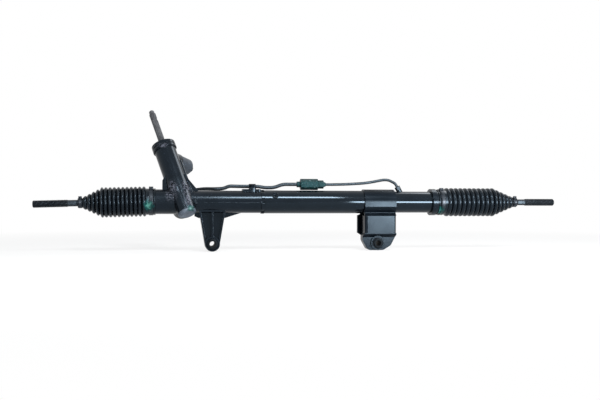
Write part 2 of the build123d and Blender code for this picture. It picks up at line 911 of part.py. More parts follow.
def ball_housing(origin, outward):
    """Socket that carries the ball, with the stud that screws into the rack."""
    cavity = seat_outer_radius + clearance
    turn_outline(
        origin,
        outward,
        [
            (-ball_housing_back + washer_thickness - stud_length, 0),
            (-ball_housing_back + washer_thickness - stud_length, stud_radius),
            (-ball_housing_back + washer_thickness, stud_radius),
            (-ball_housing_back + washer_thickness, ball_housing_radius - 1.5),
            (-ball_housing_back + washer_thickness + 1.5, ball_housing_radius),
            (2, ball_housing_radius),
            (housing_mouth, ball_housing_radius - 3.5),
            (housing_mouth, 0),
        ],
    )
    with BuildSketch(half_plane(origin, outward)) as hollow:
        with Locations((0, 0)):
            Circle(cavity)
        with Locations((0, -cavity)):
            Rectangle(4 * cavity, 2 * cavity, mode=Mode.SUBTRACT)
    revolve(hollow.sketch, axis=Axis(origin, outward), mode=Mode.SUBTRACT)


def ball_seat(origin, outward):
    """Plastic liner between ball and socket, open towards the rod."""
    with BuildSketch(half_plane(origin, outward)) as liner:
        Circle(seat_outer_radius)
        Circle(ball_radius + clearance, mode=Mode.SUBTRACT)
        with Locations((0, -2 * ball_radius)):
            Rectangle(8 * ball_radius, 4 * ball_radius, mode=Mode.SUBTRACT)
        with Locations((seat_mouth + 2 * ball_radius, 0)):
            Rectangle(4 * ball_radius, 8 * ball_radius, mode=Mode.SUBTRACT)
    revolve(liner.sketch, axis=Axis(origin, outward))


def tie_rod(origin, outward):
    """Ball, shank with spanner flats, and the threaded end."""
    thread_start = rod_length - thread_length
    with BuildSketch(half_plane(origin, outward)) as rod:
        Circle(ball_radius)
        with Locations(((neck_start + thread_start) / 2, 0)):
            Rectangle(thread_start - neck_start, 2 * shank_radius)
        with BuildLine():
            Polyline(
                (thread_start, 0),
                (thread_start, shank_radius),
                (thread_start + 1, thread_radius),
                (rod_length - 1.5, thread_radius),
                (rod_length, thread_radius - 1.5),
                (rod_length, 0),
                close=True,
            )
        make_face()
        with Locations((0, -2 * ball_radius)):
            Rectangle(4 * rod_length, 4 * ball_radius, mode=Mode.SUBTRACT)
    revolve(rod.sketch, axis=Axis(origin, outward))
    for side in (1, -1):
        flats_middle = origin + outward * (flats_start + flats_length / 2)
        flat_plane = Plane(origin=flats_middle, x_dir=outward, z_dir=(0, side, 0))
        with BuildSketch(flat_plane.offset(flats_across / 2)) as flat_face:
            Rectangle(flats_length, 3 * shank_radius)
        extrude(flat_face.sketch, amount=shank_radius, mode=Mode.SUBTRACT)


left_ball = above_rack(left_ball_x, 0, 0)
right_ball = above_rack(right_ball_x, 0, 0)
droop = radians(left_rod_droop)
left_rod_direction = Vector(-cos(droop), 0, -sin(droop))

with BuildPart() as left_ball_housing:
    ball_housing(left_ball, -along_rack)
save(left_ball_housing, "left_ball_housing")

with BuildPart() as right_ball_housing:
    ball_housing(right_ball, along_rack)
save(right_ball_housing, "right_ball_housing")

with BuildPart() as lock_washers:
    for origin, outward in ((left_ball, -along_rack), (right_ball, along_rack)):
        turn(
            origin,
            outward,
            (-ball_housing_back, -ball_housing_back + washer_thickness, stud_radius, washer_radius),
        )
save(lock_washers, "lock_washers")

with BuildPart() as left_ball_seat:
    ball_seat(left_ball, -along_rack)
save(left_ball_seat, "left_ball_seat")

with BuildPart() as right_ball_seat:
    ball_seat(right_ball, along_rack)
save(right_ball_seat, "right_ball_seat")

with BuildPart() as left_tie_rod:
    tie_rod(left_ball, left_rod_direction)
save(left_tie_rod, "left_tie_rod")

with BuildPart() as right_tie_rod:
    tie_rod(right_ball, along_rack)
save(right_tie_rod, "right_tie_rod")

# ---- Steel cylinder tube and its fittings -------------------------------------------------------
tube_start = cast_tube_end + lock_ring_width
notch_width, notch_depth, notch_count, notch_angle = 12.0, 3.0, 6, 24.0
tube_plug_x, tube_plug_angle, tube_plug_radius = 137.6, 34.0, 6.0
fitting_radius, fitting_boss_radius, fitting_boss_reach = 2.5, 6.0, 28.0
right_port_direction = Vector(-sin(radians(right_port_lean)), 0, cos(radians(right_port_lean)))
left_port_direction = Vector(0, sin(radians(80)), cos(radians(80)))
tube_plug_direction = Vector(0, -cos(radians(tube_plug_angle)), sin(radians(tube_plug_angle)))
port_foot_height = cylinder_end_radius
port_foot_shift = port_foot_height * tan(radians(right_port_lean))
right_port_origin = above_rack(right_port_x + port_foot_shift, 0, 0)
slant = 1 / cos(radians(right_port_lean))

with BuildPart() as cylinder_tube:
    turn(
        rack_origin,
        along_rack,
        (tube_start, cylinder_step_x, 0, cylinder_radius),
        (cylinder_step_x, cylinder_right_end, 0, cylinder_end_radius),
    )
    turn(
        right_port_origin,
        right_port_direction,
        (20, fitting_boss_reach * slant, 0, fitting_boss_radius),
    )
    turn(
        above_rack(left_port_x, 0, 0),
        left_port_direction,
        (20, cylinder_radius + 3, 0, fitting_boss_radius),
    )
    turn(
        above_rack(tube_plug_x, 0, 0),
        tube_plug_direction,
        (20, cylinder_radius + 1.2, 0, tube_plug_radius + 1.5),
    )
    turn(
        rack_origin,
        along_rack,
        (tube_start - 1, cylinder_right_end + 1, 0, cylinder_bore_radius),
        mode=Mode.SUBTRACT,
    )
    turn(right_port_origin, right_port_direction, (15, 45, 0, fitting_radius), mode=Mode.SUBTRACT)
    turn(
        above_rack(left_port_x, 0, 0),
        left_port_direction,
        (15, 40, 0, fitting_radius),
        mode=Mode.SUBTRACT,
    )
    turn(
        above_rack(tube_plug_x, 0, 0),
        tube_plug_direction,
        (15, 40, 0, tube_plug_radius),
        mode=Mode.SUBTRACT,
    )
save(cylinder_tube, "cylinder_tube")

with BuildPart() as tube_plug:
    turn(
        above_rack(tube_plug_x, 0, 0),
        tube_plug_direction,
        (cylinder_bore_radius + 0.6, cylinder_radius + 0.6, 0, tube_plug_radius),
    )
    plug_face = above_rack(tube_plug_x, 0, 0) + tube_plug_direction * (cylinder_radius + 0.6)
    with BuildSketch(Plane(origin=plug_face, z_dir=tube_plug_direction)) as plug_socket:
        RegularPolygon(3, 6)
    extrude(plug_socket.sketch, amount=-2.5, mode=Mode.SUBTRACT)
save(tube_plug, "tube_plug")

with BuildPart() as tube_lock_ring:
    turn(
        rack_origin,
        along_rack,
        (cast_tube_end, tube_start, cylinder_bore_radius, lock_ring_radius),
    )
    with BuildSketch(Plane(origin=(cast_tube_end, 0, rack_height), z_dir=along_rack)) as notches:
        with PolarLocations(lock_ring_radius, notch_count, start_angle=notch_angle):
            Rectangle(2 * notch_depth, notch_width)
    extrude(notches.sketch, amount=lock_ring_width, mode=Mode.SUBTRACT)
save(tube_lock_ring, "tube_lock_ring")

with BuildPart() as end_collar:
    turn(
        rack_origin,
        along_rack,
        (collar_start, collar_start + collar_width, cylinder_end_radius, collar_radius),
        (collar_start + collar_width, cylinder_right_end, cylinder_end_radius, cuff_neck_radius),
    )
save(end_collar, "end_collar")

# ---- Right mounting bracket ---------------------------------------------------------------------
bracket_middle = (bracket_left + bracket_right) / 2
bracket_width = bracket_right - bracket_left
bracket_side_plane = Plane(origin=(bracket_middle, 0, rack_height), x_dir=(0, 1, 0), z_dir=(1, 0, 0))
wrap_radius = cylinder_radius + sheet / 2
flange_depth = 24.0
rear_flange_depth = 10.0
bush_tube_radius = 16.2
left_corner, right_corner = (12.0, 22.0), (29.0, 33.0)
middle_corner = (11.5, 10.5)  # where the right corner's two slopes meet
corner_radius, foot_radius = 3.0, 12.0
foot_wall_depth = 18.0
foot_taper = 3.0
bend_radius = 6.0
top_corner = 5.0


def bracket_sheet(facing):
    """One pressed half: wraps over the tube, then drops in a folded flat.  facing is -1 for the front."""
    flat_y = facing * bracket_depth
    with BuildSketch(bracket_side_plane) as profile:
        with BuildLine() as path:
            FilletPolyline(
                (0, wrap_radius),
                (facing * wrap_radius, wrap_radius),
                (facing * wrap_radius, -13),
                (facing * (wrap_radius - 9), -24),
                (flat_y, bracket_fold - 2),
                (flat_y, bracket_step),
                (flat_y - facing * bracket_recess, bracket_step - 5),
                (flat_y - facing * bracket_recess, bracket_bottom),
                radius=[wrap_radius - 0.01, 8, 4, 3, 3, 3],
            )
        trace(path.line, line_width=sheet)
    extrude(profile.sketch, amount=bracket_width, both=True)


def bracket_outline(flat_left, foot_left):
    """Front view of a half: strap over the tube, flat below it and a foot with clipped corners."""
    shoulder_height = wrap_radius - top_corner
    strap = [(bracket_left + top_corner, 2 * wrap_radius), (bracket_left, shoulder_height)]
    if flat_left < bracket_left:
        strap += [(bracket_left, bracket_fold + foot_taper), (flat_left, bracket_fold)]
    sides = strap + [(flat_left, bracket_step + foot_taper), (foot_left, bracket_step - foot_taper)]
    foot = [
        (foot_left, bracket_bottom + left_corner[1]),
        (foot_left + left_corner[0], bracket_bottom),
        (bracket_right - right_corner[0], bracket_bottom),
        (bracket_right - middle_corner[0], bracket_bottom + middle_corner[1]),
        (bracket_right, bracket_bottom + right_corner[1]),
    ]
    right_side = [(bracket_right, shoulder_height), (bracket_right - top_corner, 2 * wrap_radius)]
    FilletPolyline(
        *sides,
        *foot,
        *right_side,
        close=True,
        radius=[corner_radius] * len(sides) + [foot_radius] * len(foot) + [corner_radius] * len(right_side),
    )


def foot_wall(facing, flat_left, foot_left):
    """Edge of the foot folded back along its left side and corner."""
    with BuildSketch(front_plane.offset(-facing * (bracket_depth - bracket_recess))) as fold:
        with BuildLine():
            bracket_outline(flat_left, foot_left)
        make_face()
        offset(amount=-sheet, mode=Mode.SUBTRACT)
        wall_top = bracket_step + foot_taper
        with Locations((foot_left, (wall_top + bracket_bottom) / 2)):
            Rectangle(2 * left_corner[0], wall_top - bracket_bottom, mode=Mode.INTERSECT)
    extrude(fold.sketch, amount=facing * foot_wall_depth)


def bracket_half(facing, depth, flat_left, foot_left):
    """Pressed half with clipped corners, side walls folded back and a hole for the bush tube."""
    bracket_sheet(facing)
    wall_bottom = bracket_step + foot_taper
    with BuildSketch(front_plane) as outline:
        with BuildLine():
            bracket_outline(flat_left, foot_left)
        make_face()
        for x in (flat_left, bracket_right):
            with Locations((x, (wall_bottom + bracket_fold) / 2)):
                Rectangle(2 * bend_radius, bracket_fold - wall_bottom, mode=Mode.SUBTRACT)
    extrude(outline.sketch, amount=2 * bracket_depth, both=True, mode=Mode.INTERSECT)
    flat_y = facing * bracket_depth
    left, right = flat_left + sheet / 2, bracket_right - sheet / 2
    with BuildSketch(Plane.XY.offset(rack_height + wall_bottom)) as channel:
        with BuildLine() as walls:
            FilletPolyline(
                (left, flat_y - facing * depth),
                (left, flat_y),
                (right, flat_y),
                (right, flat_y - facing * depth),
                radius=bend_radius - sheet / 2,
            )
        trace(walls.line, line_width=sheet)
    extrude(channel.sketch, amount=bracket_fold - wall_bottom)
    turn((mount_spacing, 0, 0), (0, 1, 0), (-40, 40, 0, bush_tube_radius), mode=Mode.SUBTRACT)


with BuildPart() as bracket_front:
    bracket_half(-1, flange_depth, bracket_left, bracket_left - bracket_flare)
    foot_wall(-1, bracket_left, bracket_left - bracket_flare)
save(bracket_front, "bracket_front")

with BuildPart() as bracket_rear:
    bracket_half(1, rear_flange_depth, rear_half_left, bracket_left + 2)
save(bracket_rear, "bracket_rear")

# ---- Mounting bushes ----------------------------------------------------------------------------
bush_centres = ((0, 0, 0), (mount_spacing, 0, 0))

with BuildPart() as bracket_bush_tube:
    turn(
        bush_centres[1],
        (0, 1, 0),
        (-bush_sleeve_length / 2, bush_sleeve_length / 2, bush_sleeve_radius, bush_tube_radius),
    )
save(bracket_bush_tube, "bracket_bush_tube")

with BuildPart() as mount_bush_sleeves:
    for centre in bush_centres:
        turn(
            centre,
            (0, 1, 0),
            (-bush_sleeve_length / 2, bush_sleeve_length / 2, bush_sleeve_inner_radius, bush_sleeve_radius),
        )
save(mount_bush_sleeves, "mount_bush_sleeves")

with BuildPart() as mount_bush_rubbers:
    for centre in bush_centres:
        turn_outline(
            centre,
            (0, 1, 0),
            [
                (-bush_sleeve_length / 2 + 1, bush_sleeve_inner_radius),
                (-bush_sleeve_length / 2 - 2, bush_core_radius + 0.8),
                (-bush_sleeve_length / 2 - 2, bush_core_radius),
                (bush_sleeve_length / 2 + 2, bush_core_radius),
                (bush_sleeve_length / 2 + 2, bush_core_radius + 0.8),
                (bush_sleeve_length / 2 - 1, bush_sleeve_inner_radius),
            ],
        )
save(mount_bush_rubbers, "mount_bush_rubbers")

with BuildPart() as mount_bush_cores:
    for centre in bush_centres:
        turn(
            centre,
            (0, 1, 0),
            (-bush_core_length / 2, bush_core_length / 2, bush_core_bore_radius, bush_core_radius),
        )
save(mount_bush_cores, "mount_bush_cores")

# ---- Bellows and their clamps -------------------------------------------------------------------
left_neck = above_rack(housing_left_end, 0, 0)
right_neck = above_rack(cylinder_right_end, 0, 0)


def fold_outline(start):
    """Half section of the folds: even ridges, then a cone down to the small end."""
    pitch = (small_clamp_at - start) / ridge_count
    outer, inner = [(start, cuff_radius)], [(start, cuff_radius - bellows_wall)]
    for ridge in range(ridge_count):
        crest_share = min(1, (ridge_count - ridge) / (cone_ridges + 1))
        valley_share = min(1, (ridge_count - ridge - 1) / (cone_ridges + 1))
        crest = small_end_radius + (ridge_radius - small_end_radius) * crest_share
        valley = small_end_radius + (valley_radius - small_end_radius) * valley_share
        middle = start + (ridge + 0.5) * pitch
        outer += [(middle, crest), (middle + pitch / 2, valley)]
        inner += [(middle, crest - 2 * bellows_wall), (middle + pitch / 2, valley - bellows_wall)]
    inner[-1] = (small_clamp_at, shank_radius + clearance)
    outer.append((small_clamp_at + small_end_length, small_end_radius))
    inner.append((small_clamp_at + small_end_length, shank_radius + clearance))
    return outer + inner[::-1]


def bellows(neck, outward, ball, rod_direction):
    """Cuff over the neck, and folds that follow the tie rod."""
    turn(neck, outward, (-cuff_length, cuff_overrun, cuff_neck_radius, cuff_radius))
    start = (neck - ball).dot(outward) + cuff_overrun / 2
    turn_outline(ball, rod_direction, fold_outline(start))


with BuildPart() as left_bellows:
    bellows(left_neck, -along_rack, left_ball, left_rod_direction)
save(left_bellows, "left_bellows")

with BuildPart() as right_bellows:
    bellows(right_neck, along_rack, right_ball, along_rack)
save(right_bellows, "right_bellows")


def band_clamp(origin, direction, inner, width):
    """Band round a bellows end, with the pinched ear that tightens it."""
    turn(origin, direction, (-width / 2, width / 2, inner, inner + clamp_band))
    ear_direction = Vector(0, -sin(radians(ear_angle)), cos(radians(ear_angle)))
    ear_plane = Plane(origin=origin, x_dir=direction, z_dir=ear_direction)
    with BuildSketch(ear_plane.offset(inner + clamp_band / 2)) as ear:
        Rectangle(width, ear_thickness)
    extrude(ear.sketch, amount=ear_height)


with BuildPart() as left_large_clamp:
    band_clamp(left_neck + along_rack * cuff_length / 2, along_rack, cuff_radius, clamp_width)
save(left_large_clamp, "left_large_clamp")

with BuildPart() as right_large_clamp:
    band_clamp(right_neck - along_rack * cuff_length / 2, along_rack, cuff_radius, clamp_width)
save(right_large_clamp, "right_large_clamp")

small_clamp_middle = small_clamp_at + small_end_length / 2

with BuildPart() as left_small_clamp:
    middle = left_ball + left_rod_direction * small_clamp_middle
    band_clamp(middle, left_rod_direction, small_end_radius, small_clamp_width)
save(left_small_clamp, "left_small_clamp")

with BuildPart() as right_small_clamp:
    middle = right_ball + along_rack * small_clamp_middle
    band_clamp(middle, along_rack, small_end_radius, small_clamp_width)
save(right_small_clamp, "right_small_clamp")

# ---- Hydraulic lines ----------------------------------------------------------------------------
nut_radius, nut_length = 6.6, 8.0
union_hexagon_radius, union_nut_radius = 12.6, 9.4
union_sleeve_radius = 6.5
union_nut_gap, union_chamfer = 1.5, 2.0
hexagon_start, hexagon_end = 8.0, 48.0
nut_end, union_length = 61.0, 66.0
bend_share = 0.45


def route_radii(points):
    """Largest even bend at each corner of a route."""
    radii = []
    for before, here, after in zip(points, points[1:], points[2:]):
        incoming, outgoing = here - before, after - here
        turned = radians(incoming.get_angle(outgoing))
        radii.append(bend_share * min(incoming.length, outgoing.length) / tan(turned / 2))
    return radii


def line_tube(points, radius):
    """Bent tube along a route."""
    with BuildLine() as route:
        FilletPolyline(*points, radius=route_radii(points))
    with BuildSketch(Plane(origin=route.line @ 0, z_dir=route.line % 0)) as bore:
        Circle(radius)
    sweep(bore.sketch, path=route.line)


def tube_nut(foot, direction):
    """Hexagon nut that holds a line in its port."""
    with BuildSketch(Plane(origin=foot, z_dir=direction)) as hexagon:
        RegularPolygon(nut_radius, 6)
    extrude(hexagon.sketch, amount=nut_length)


line_foot = tower_point(line_port_s, line_boss_reach, line_direction)
short_foot = tower_point(short_port_s, line_boss_reach, line_direction)
valve_line_start = line_foot + line_direction * nut_length
short_line_start = short_foot + line_direction * nut_length
right_fitting = right_port_origin + right_port_direction * (fitting_boss_reach * slant)
right_line_end = right_fitting + right_port_direction * nut_length
left_fitting = above_rack(left_port_x, 0, 0) + left_port_direction * (cylinder_radius + 3)
left_line_end = left_fitting + left_port_direction * nut_length
union_left = above_rack(union_start, line_y, union_height)
union_right = union_left + along_rack * union_length

# Straight lengths at the fittings
valve_run, union_run, right_port_run, left_port_run = 22.0, 12.0, 9.0, 20.0

# Bends of the lines: places along the rack, distances behind its axis and heights above it
valve_turn_x, valve_turn_y, valve_turn_height = -18.0, 38.0, 29.0
valve_low_start, valve_low_start_y, valve_low_start_height = 8.0, 10.0, 28.4
valve_low_end, valve_low_end_height = 26.0, 29.4
valve_step_x, valve_step_height = 38.0, 34.8
clip_run_start, clip_run_end = 60.0, 104.0
line_sag_start, line_sag_start_height = 117.0, 31.6
line_sag_end, line_sag_end_height = 139.0, 31.8
union_approach_x = 158.0
line_rise_start, line_rise_start_height = 305.0, 40.2
line_rise_end, line_rise_end_height = 352.0, 43.2
line_crest_start, line_crest_start_y, line_crest_start_height = 391.0, 5.0, 50.8
line_crest_end, line_crest_end_y, line_crest_end_height = 403.0, 3.0, 50.2
short_turn_x, short_turn_y, short_turn_height = -25.0, 50.0, 16.0
short_run_start, short_run_start_y, short_run_start_height = 25.0, 47.0, 12.0
short_run_end, short_run_end_y, short_run_end_height = 80.0, 48.0, 10.0

valve_line_route = [
    valve_line_start,
    valve_line_start + line_direction * valve_run,
    above_rack(valve_turn_x, valve_turn_y, valve_turn_height),
    above_rack(valve_low_start, valve_low_start_y, valve_low_start_height),
    above_rack(valve_low_end, line_y, valve_low_end_height),
    above_rack(valve_step_x, line_y, valve_step_height),
    above_rack(clip_run_start, line_y, clip_height),
    above_rack(clip_run_end, line_y, clip_height),
    above_rack(line_sag_start, line_y, line_sag_start_height),
    above_rack(line_sag_end, line_y, line_sag_end_height),
    above_rack(union_approach_x, line_y, union_height),
    union_left,
]
cylinder_line_route = [
    union_right,
    union_right + along_rack * union_run,
    above_rack(line_rise_start, line_y, line_rise_start_height),
    above_rack(line_rise_end, line_y, line_rise_end_height),
    above_rack(line_crest_start, line_crest_start_y, line_crest_start_height),
    above_rack(line_crest_end, line_crest_end_y, line_crest_end_height),
    right_line_end + right_port_direction * right_port_run,
    right_line_end,
]
short_line_route = [
    short_line_start,
    short_line_start + line_direction * valve_run,
    above_rack(short_turn_x, short_turn_y, short_turn_height),
    above_rack(short_run_start, short_run_start_y, short_run_start_height),
    above_rack(short_run_end, short_run_end_y, short_run_end_height),
    left_line_end + left_port_direction * left_port_run,
    left_line_end,
]

with BuildPart() as valve_line:
    line_tube(valve_line_route, line_radius)
save(valve_line, "valve_line")

with BuildPart() as cylinder_line:
    line_tube(cylinder_line_route, cylinder_line_radius)
save(cylinder_line, "cylinder_line")

with BuildPart() as short_line:
    line_tube(short_line_route, cylinder_line_radius)
save(short_line, "short_line")

with BuildPart() as line_nuts:
    tube_nut(line_foot, line_direction)
    tube_nut(short_foot, line_direction)
    tube_nut(right_fitting, right_port_direction)
    tube_nut(left_fitting, left_port_direction)
save(line_nuts, "line_nuts")

with BuildPart() as union_body:
    turn(union_left, along_rack, (0, hexagon_end, 0, union_sleeve_radius))
    with BuildSketch(Plane(origin=union_left + along_rack * hexagon_start, z_dir=along_rack)) as body:
        RegularPolygon(union_hexagon_radius, 6)
    extrude(body.sketch, amount=hexagon_end - hexagon_start)
save(union_body, "union_body")

with BuildPart() as union_nut:
    nut_start = hexagon_end + union_nut_gap
    turn(union_left, along_rack, (hexagon_end, nut_start, 0, union_sleeve_radius))
    with BuildSketch(Plane(origin=union_left + along_rack * nut_start, z_dir=along_rack)) as nut_hexagon:
        RegularPolygon(union_nut_radius, 6)
    extrude(nut_hexagon.sketch, amount=nut_end - nut_start)
    turn_outline(
        union_left,
        along_rack,
        [
            (nut_end, 0),
            (nut_end, union_sleeve_radius),
            (union_length, union_sleeve_radius - union_chamfer),
            (union_length, 0),
        ],
    )
save(union_nut, "union_nut")

# ---- Line clip ----------------------------------------------------------------------------------
clip_top = above_rack(clip_x, clip_boss_y, clip_boss_height)

with BuildPart() as line_clip:
    turn(
        above_rack(clip_x, line_y, clip_height),
        along_rack,
        (-clip_width / 2, clip_width / 2, 0, line_radius + clip_sheet),
    )
    with BuildSketch(Plane(origin=clip_top, z_dir=(0, 0, 1))) as strap:
        with Locations((0, (line_y - clip_boss_y - clip_overlap) / 2)):
            Rectangle(clip_width, line_y - clip_boss_y + clip_overlap)
    extrude(strap.sketch, amount=clip_sheet)
    turn(
        above_rack(clip_x, line_y, clip_height),
        along_rack,
        (-clip_width, clip_width, 0, line_radius),
        mode=Mode.SUBTRACT,
    )
save(line_clip, "line_clip")

with BuildPart() as clip_bolt:
    with BuildSketch(Plane(origin=clip_top + Vector(0, 0, clip_sheet), z_dir=(0, 0, 1))) as head:
        RegularPolygon(clip_bolt_radius, 6)
    extrude(head.sketch, amount=clip_bolt_height)
save(clip_bolt, "clip_bolt")
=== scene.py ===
"""Looks for the steering rack: materials, detailed pieces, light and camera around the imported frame."""
from math import acos, asin, cos, pi, radians, sin, sqrt, tau

import bmesh
import bpy
from mathutils import Matrix, Vector


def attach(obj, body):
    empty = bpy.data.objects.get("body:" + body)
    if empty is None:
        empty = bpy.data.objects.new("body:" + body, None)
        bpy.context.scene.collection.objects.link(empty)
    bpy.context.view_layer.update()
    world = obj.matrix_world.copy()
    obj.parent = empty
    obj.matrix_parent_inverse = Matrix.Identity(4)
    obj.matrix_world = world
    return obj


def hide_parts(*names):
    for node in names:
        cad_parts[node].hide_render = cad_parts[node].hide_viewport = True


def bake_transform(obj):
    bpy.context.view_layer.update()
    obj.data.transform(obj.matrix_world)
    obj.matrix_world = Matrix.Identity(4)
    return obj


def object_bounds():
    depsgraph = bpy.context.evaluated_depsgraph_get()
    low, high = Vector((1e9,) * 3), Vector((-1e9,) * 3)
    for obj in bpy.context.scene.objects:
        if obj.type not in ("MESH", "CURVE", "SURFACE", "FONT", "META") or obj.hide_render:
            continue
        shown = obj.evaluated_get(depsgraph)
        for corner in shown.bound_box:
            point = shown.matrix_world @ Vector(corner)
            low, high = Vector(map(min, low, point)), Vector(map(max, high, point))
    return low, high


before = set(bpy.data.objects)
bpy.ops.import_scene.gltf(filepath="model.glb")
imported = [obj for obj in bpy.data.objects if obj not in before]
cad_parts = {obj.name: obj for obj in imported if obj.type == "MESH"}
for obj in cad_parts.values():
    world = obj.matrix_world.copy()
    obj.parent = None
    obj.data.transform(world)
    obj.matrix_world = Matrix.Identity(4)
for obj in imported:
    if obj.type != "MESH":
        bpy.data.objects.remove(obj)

cad_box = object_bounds()

# ---- Places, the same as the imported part's ------------------------------------------------------
mm = 0.001
rack_height = 0.092
along_rack = Vector((1, 0, 0))

# ---- Node helpers: lengths and places are metres ------------------------------------------------


def new_material(name):
    """A material with its node tree, its shader and the place on the object at rest."""
    material = bpy.data.materials.new(name)
    material.use_nodes = True
    tree = material.node_tree
    shader = tree.nodes["Principled BSDF"]
    place = tree.nodes.new("ShaderNodeTexCoord").outputs["Object"]
    return material, tree, shader, place


def plug(tree, source, socket):
    """Links a node's output to a socket, or sets the socket to a plain value."""
    if isinstance(source, bpy.types.NodeSocket):
        tree.links.new(source, socket)
    else:
        socket.default_value = source


def noise(tree, place, scale, detail=3.0, roughness=0.55):
    """Cloudy number between 0 and 1."""
    node = tree.nodes.new("ShaderNodeTexNoise")
    node.inputs["Scale"].default_value = scale
    node.inputs["Detail"].default_value = detail
    node.inputs["Roughness"].default_value = roughness
    tree.links.new(place, node.inputs["Vector"])
    return node.outputs["Fac"]


def ramp(tree, value, low, high, low_at=0.3, high_at=0.7):
    """Colour that runs from low to high as value passes from low_at to high_at."""
    node = tree.nodes.new("ShaderNodeValToRGB")
    first, last = node.color_ramp.elements
    first.position, first.color = low_at, (*low, 1)
    last.position, last.color = high_at, (*high, 1)
    tree.links.new(value, node.inputs["Fac"])
    return node.outputs["Color"]


def span(tree, value, low, high, low_at=0.3, high_at=0.7):
    """Number that runs from low to high as value passes from low_at to high_at."""
    node = tree.nodes.new("ShaderNodeMapRange")
    for key, number in (("From Min", low_at), ("From Max", high_at), ("To Min", low), ("To Max", high)):
        node.inputs[key].default_value = number
    tree.links.new(value, node.inputs["Value"])
    return node.outputs["Result"]


def mix(tree, share, first, second):
    """Colour between two, each a node's output or a plain triple."""
    node = tree.nodes.new("ShaderNodeMix")
    node.data_type = "RGBA"
    for key, source in (("Factor", share), ("A", first), ("B", second)):
        socket = next(entry for entry in node.inputs if entry.name == key and entry.enabled)
        plug(tree, (*source, 1) if isinstance(source, tuple) else source, socket)
    return next(entry for entry in node.outputs if entry.enabled)


def maths(tree, operation, first, second):
    """Number worked out from two, each a node's output or a plain number."""
    node = tree.nodes.new("ShaderNodeMath")
    node.operation = operation
    for socket, source in zip(node.inputs, (first, second)):
        plug(tree, source, socket)
    return node.outputs["Value"]


def vector_maths(tree, operation, *sources):
    """Outputs of a vector node fed by places, each a node's output or a plain triple."""
    node = tree.nodes.new("ShaderNodeVectorMath")
    node.operation = operation
    for socket, source in zip(node.inputs, sources):
        plug(tree, source, socket)
    return node.outputs


def distance(tree, place, centre, reach):
    """Distance from a point, in shares of the reach along each axis."""
    offset = vector_maths(tree, "SUBTRACT", place, centre)["Vector"]
    shares = vector_maths(tree, "DIVIDE", offset, reach)["Vector"]
    return vector_maths(tree, "LENGTH", shares)["Value"]


edge_softness, edge_samples = 0.0009, 6


def bump(tree, shader, height, depth, soft_edges):
    """Fine relief; soft edges catch the light as slightly rounded ones do."""
    node = tree.nodes.new("ShaderNodeBump")
    if soft_edges:
        edge = tree.nodes.new("ShaderNodeBevel")
        edge.samples = edge_samples
        edge.inputs["Radius"].default_value = edge_softness
        tree.links.new(edge.outputs["Normal"], node.inputs["Normal"])
    node.inputs["Distance"].default_value = depth
    tree.links.new(height, node.inputs["Height"])
    tree.links.new(node.outputs["Normal"], shader.inputs["Normal"])


# ---- Kinds of finish ----------------------------------------------------------------------------
paint_tint = (0.60, 0.81, 1.0, 1)


def painted(name, base, worn, gloss, grain, grain_depth, specular, soft_edges=True):
    """Sprayed black paint, cloudy and dusted with its worn colour."""
    material, tree, shader, place = new_material(name)
    clouds = noise(tree, place, scale=28)
    dust = noise(tree, place, scale=340, detail=4, roughness=0.65)
    dusted = span(tree, dust, low=0.0, high=0.5, low_at=0.52, high_at=0.74)
    colour = mix(tree, dusted, ramp(tree, clouds, base, worn), worn)
    tree.links.new(colour, shader.inputs["Base Color"])
    tree.links.new(span(tree, clouds, low=gloss, high=gloss * 1.6), shader.inputs["Roughness"])
    shader.inputs["Specular IOR Level"].default_value = specular
    shader.inputs["Specular Tint"].default_value = paint_tint
    skin = noise(tree, place, scale=grain, detail=2, roughness=0.5)
    bump(tree, shader, skin, grain_depth, soft_edges)
    return material


def metal(name, dark, light, rough, grain=900.0, metallic=1.0):
    """Bare or plated metal with a fine brushed grain and darker clouds."""
    grain_depth = 0.00001
    material, tree, shader, place = new_material(name)
    clouds = noise(tree, place, scale=60, detail=5, roughness=0.6)
    tree.links.new(ramp(tree, clouds, dark, light), shader.inputs["Base Color"])
    brushed = noise(tree, place, scale=grain, detail=2)
    tree.links.new(span(tree, brushed, low=rough, high=rough + 0.16), shader.inputs["Roughness"])
    shader.inputs["Metallic"].default_value = metallic
    bump(tree, shader, noise(tree, place, scale=grain, detail=3), grain_depth, soft_edges=True)
    return material


def moulded(name, dark, light, rough, specular=0.4, grain_depth=0.00003, soft_edges=True):
    """Moulded rubber or plastic with a fine grain and a little dust."""
    material, tree, shader, place = new_material(name)
    clouds = noise(tree, place, scale=45, detail=4, roughness=0.6)
    tree.links.new(ramp(tree, clouds, dark, light), shader.inputs["Base Color"])
    tree.links.new(span(tree, clouds, low=rough, high=rough + 0.12), shader.inputs["Roughness"])
    shader.inputs["Specular IOR Level"].default_value = specular
    shader.inputs["Specular Tint"].default_value = paint_tint
    bump(tree, shader, noise(tree, place, scale=1500, detail=3), grain_depth, soft_edges)
    return material


def base_colour(material):
    """Node tree, the shader's colour socket, what feeds it now and the place, to paint over it."""
    tree = material.node_tree
    socket = tree.nodes["Principled BSDF"].inputs["Base Color"]
    place = tree.nodes.new("ShaderNodeTexCoord").outputs["Object"]
    return tree, socket, socket.links[0].from_socket, place


def ragged_distance(tree, place, centre, reach):
    """Distance from a dab's centre with an uneven outline."""
    unevenness = span(tree, noise(tree, place, scale=160), low=-0.3, high=0.3)
    return maths(tree, "ADD", distance(tree, place, centre, reach), unevenness)


def dab_share(tree, ragged):
    """How far a dab covers what is under it."""
    return span(tree, ragged, low=0.92, high=0.0, low_at=0.75, high_at=1.1)


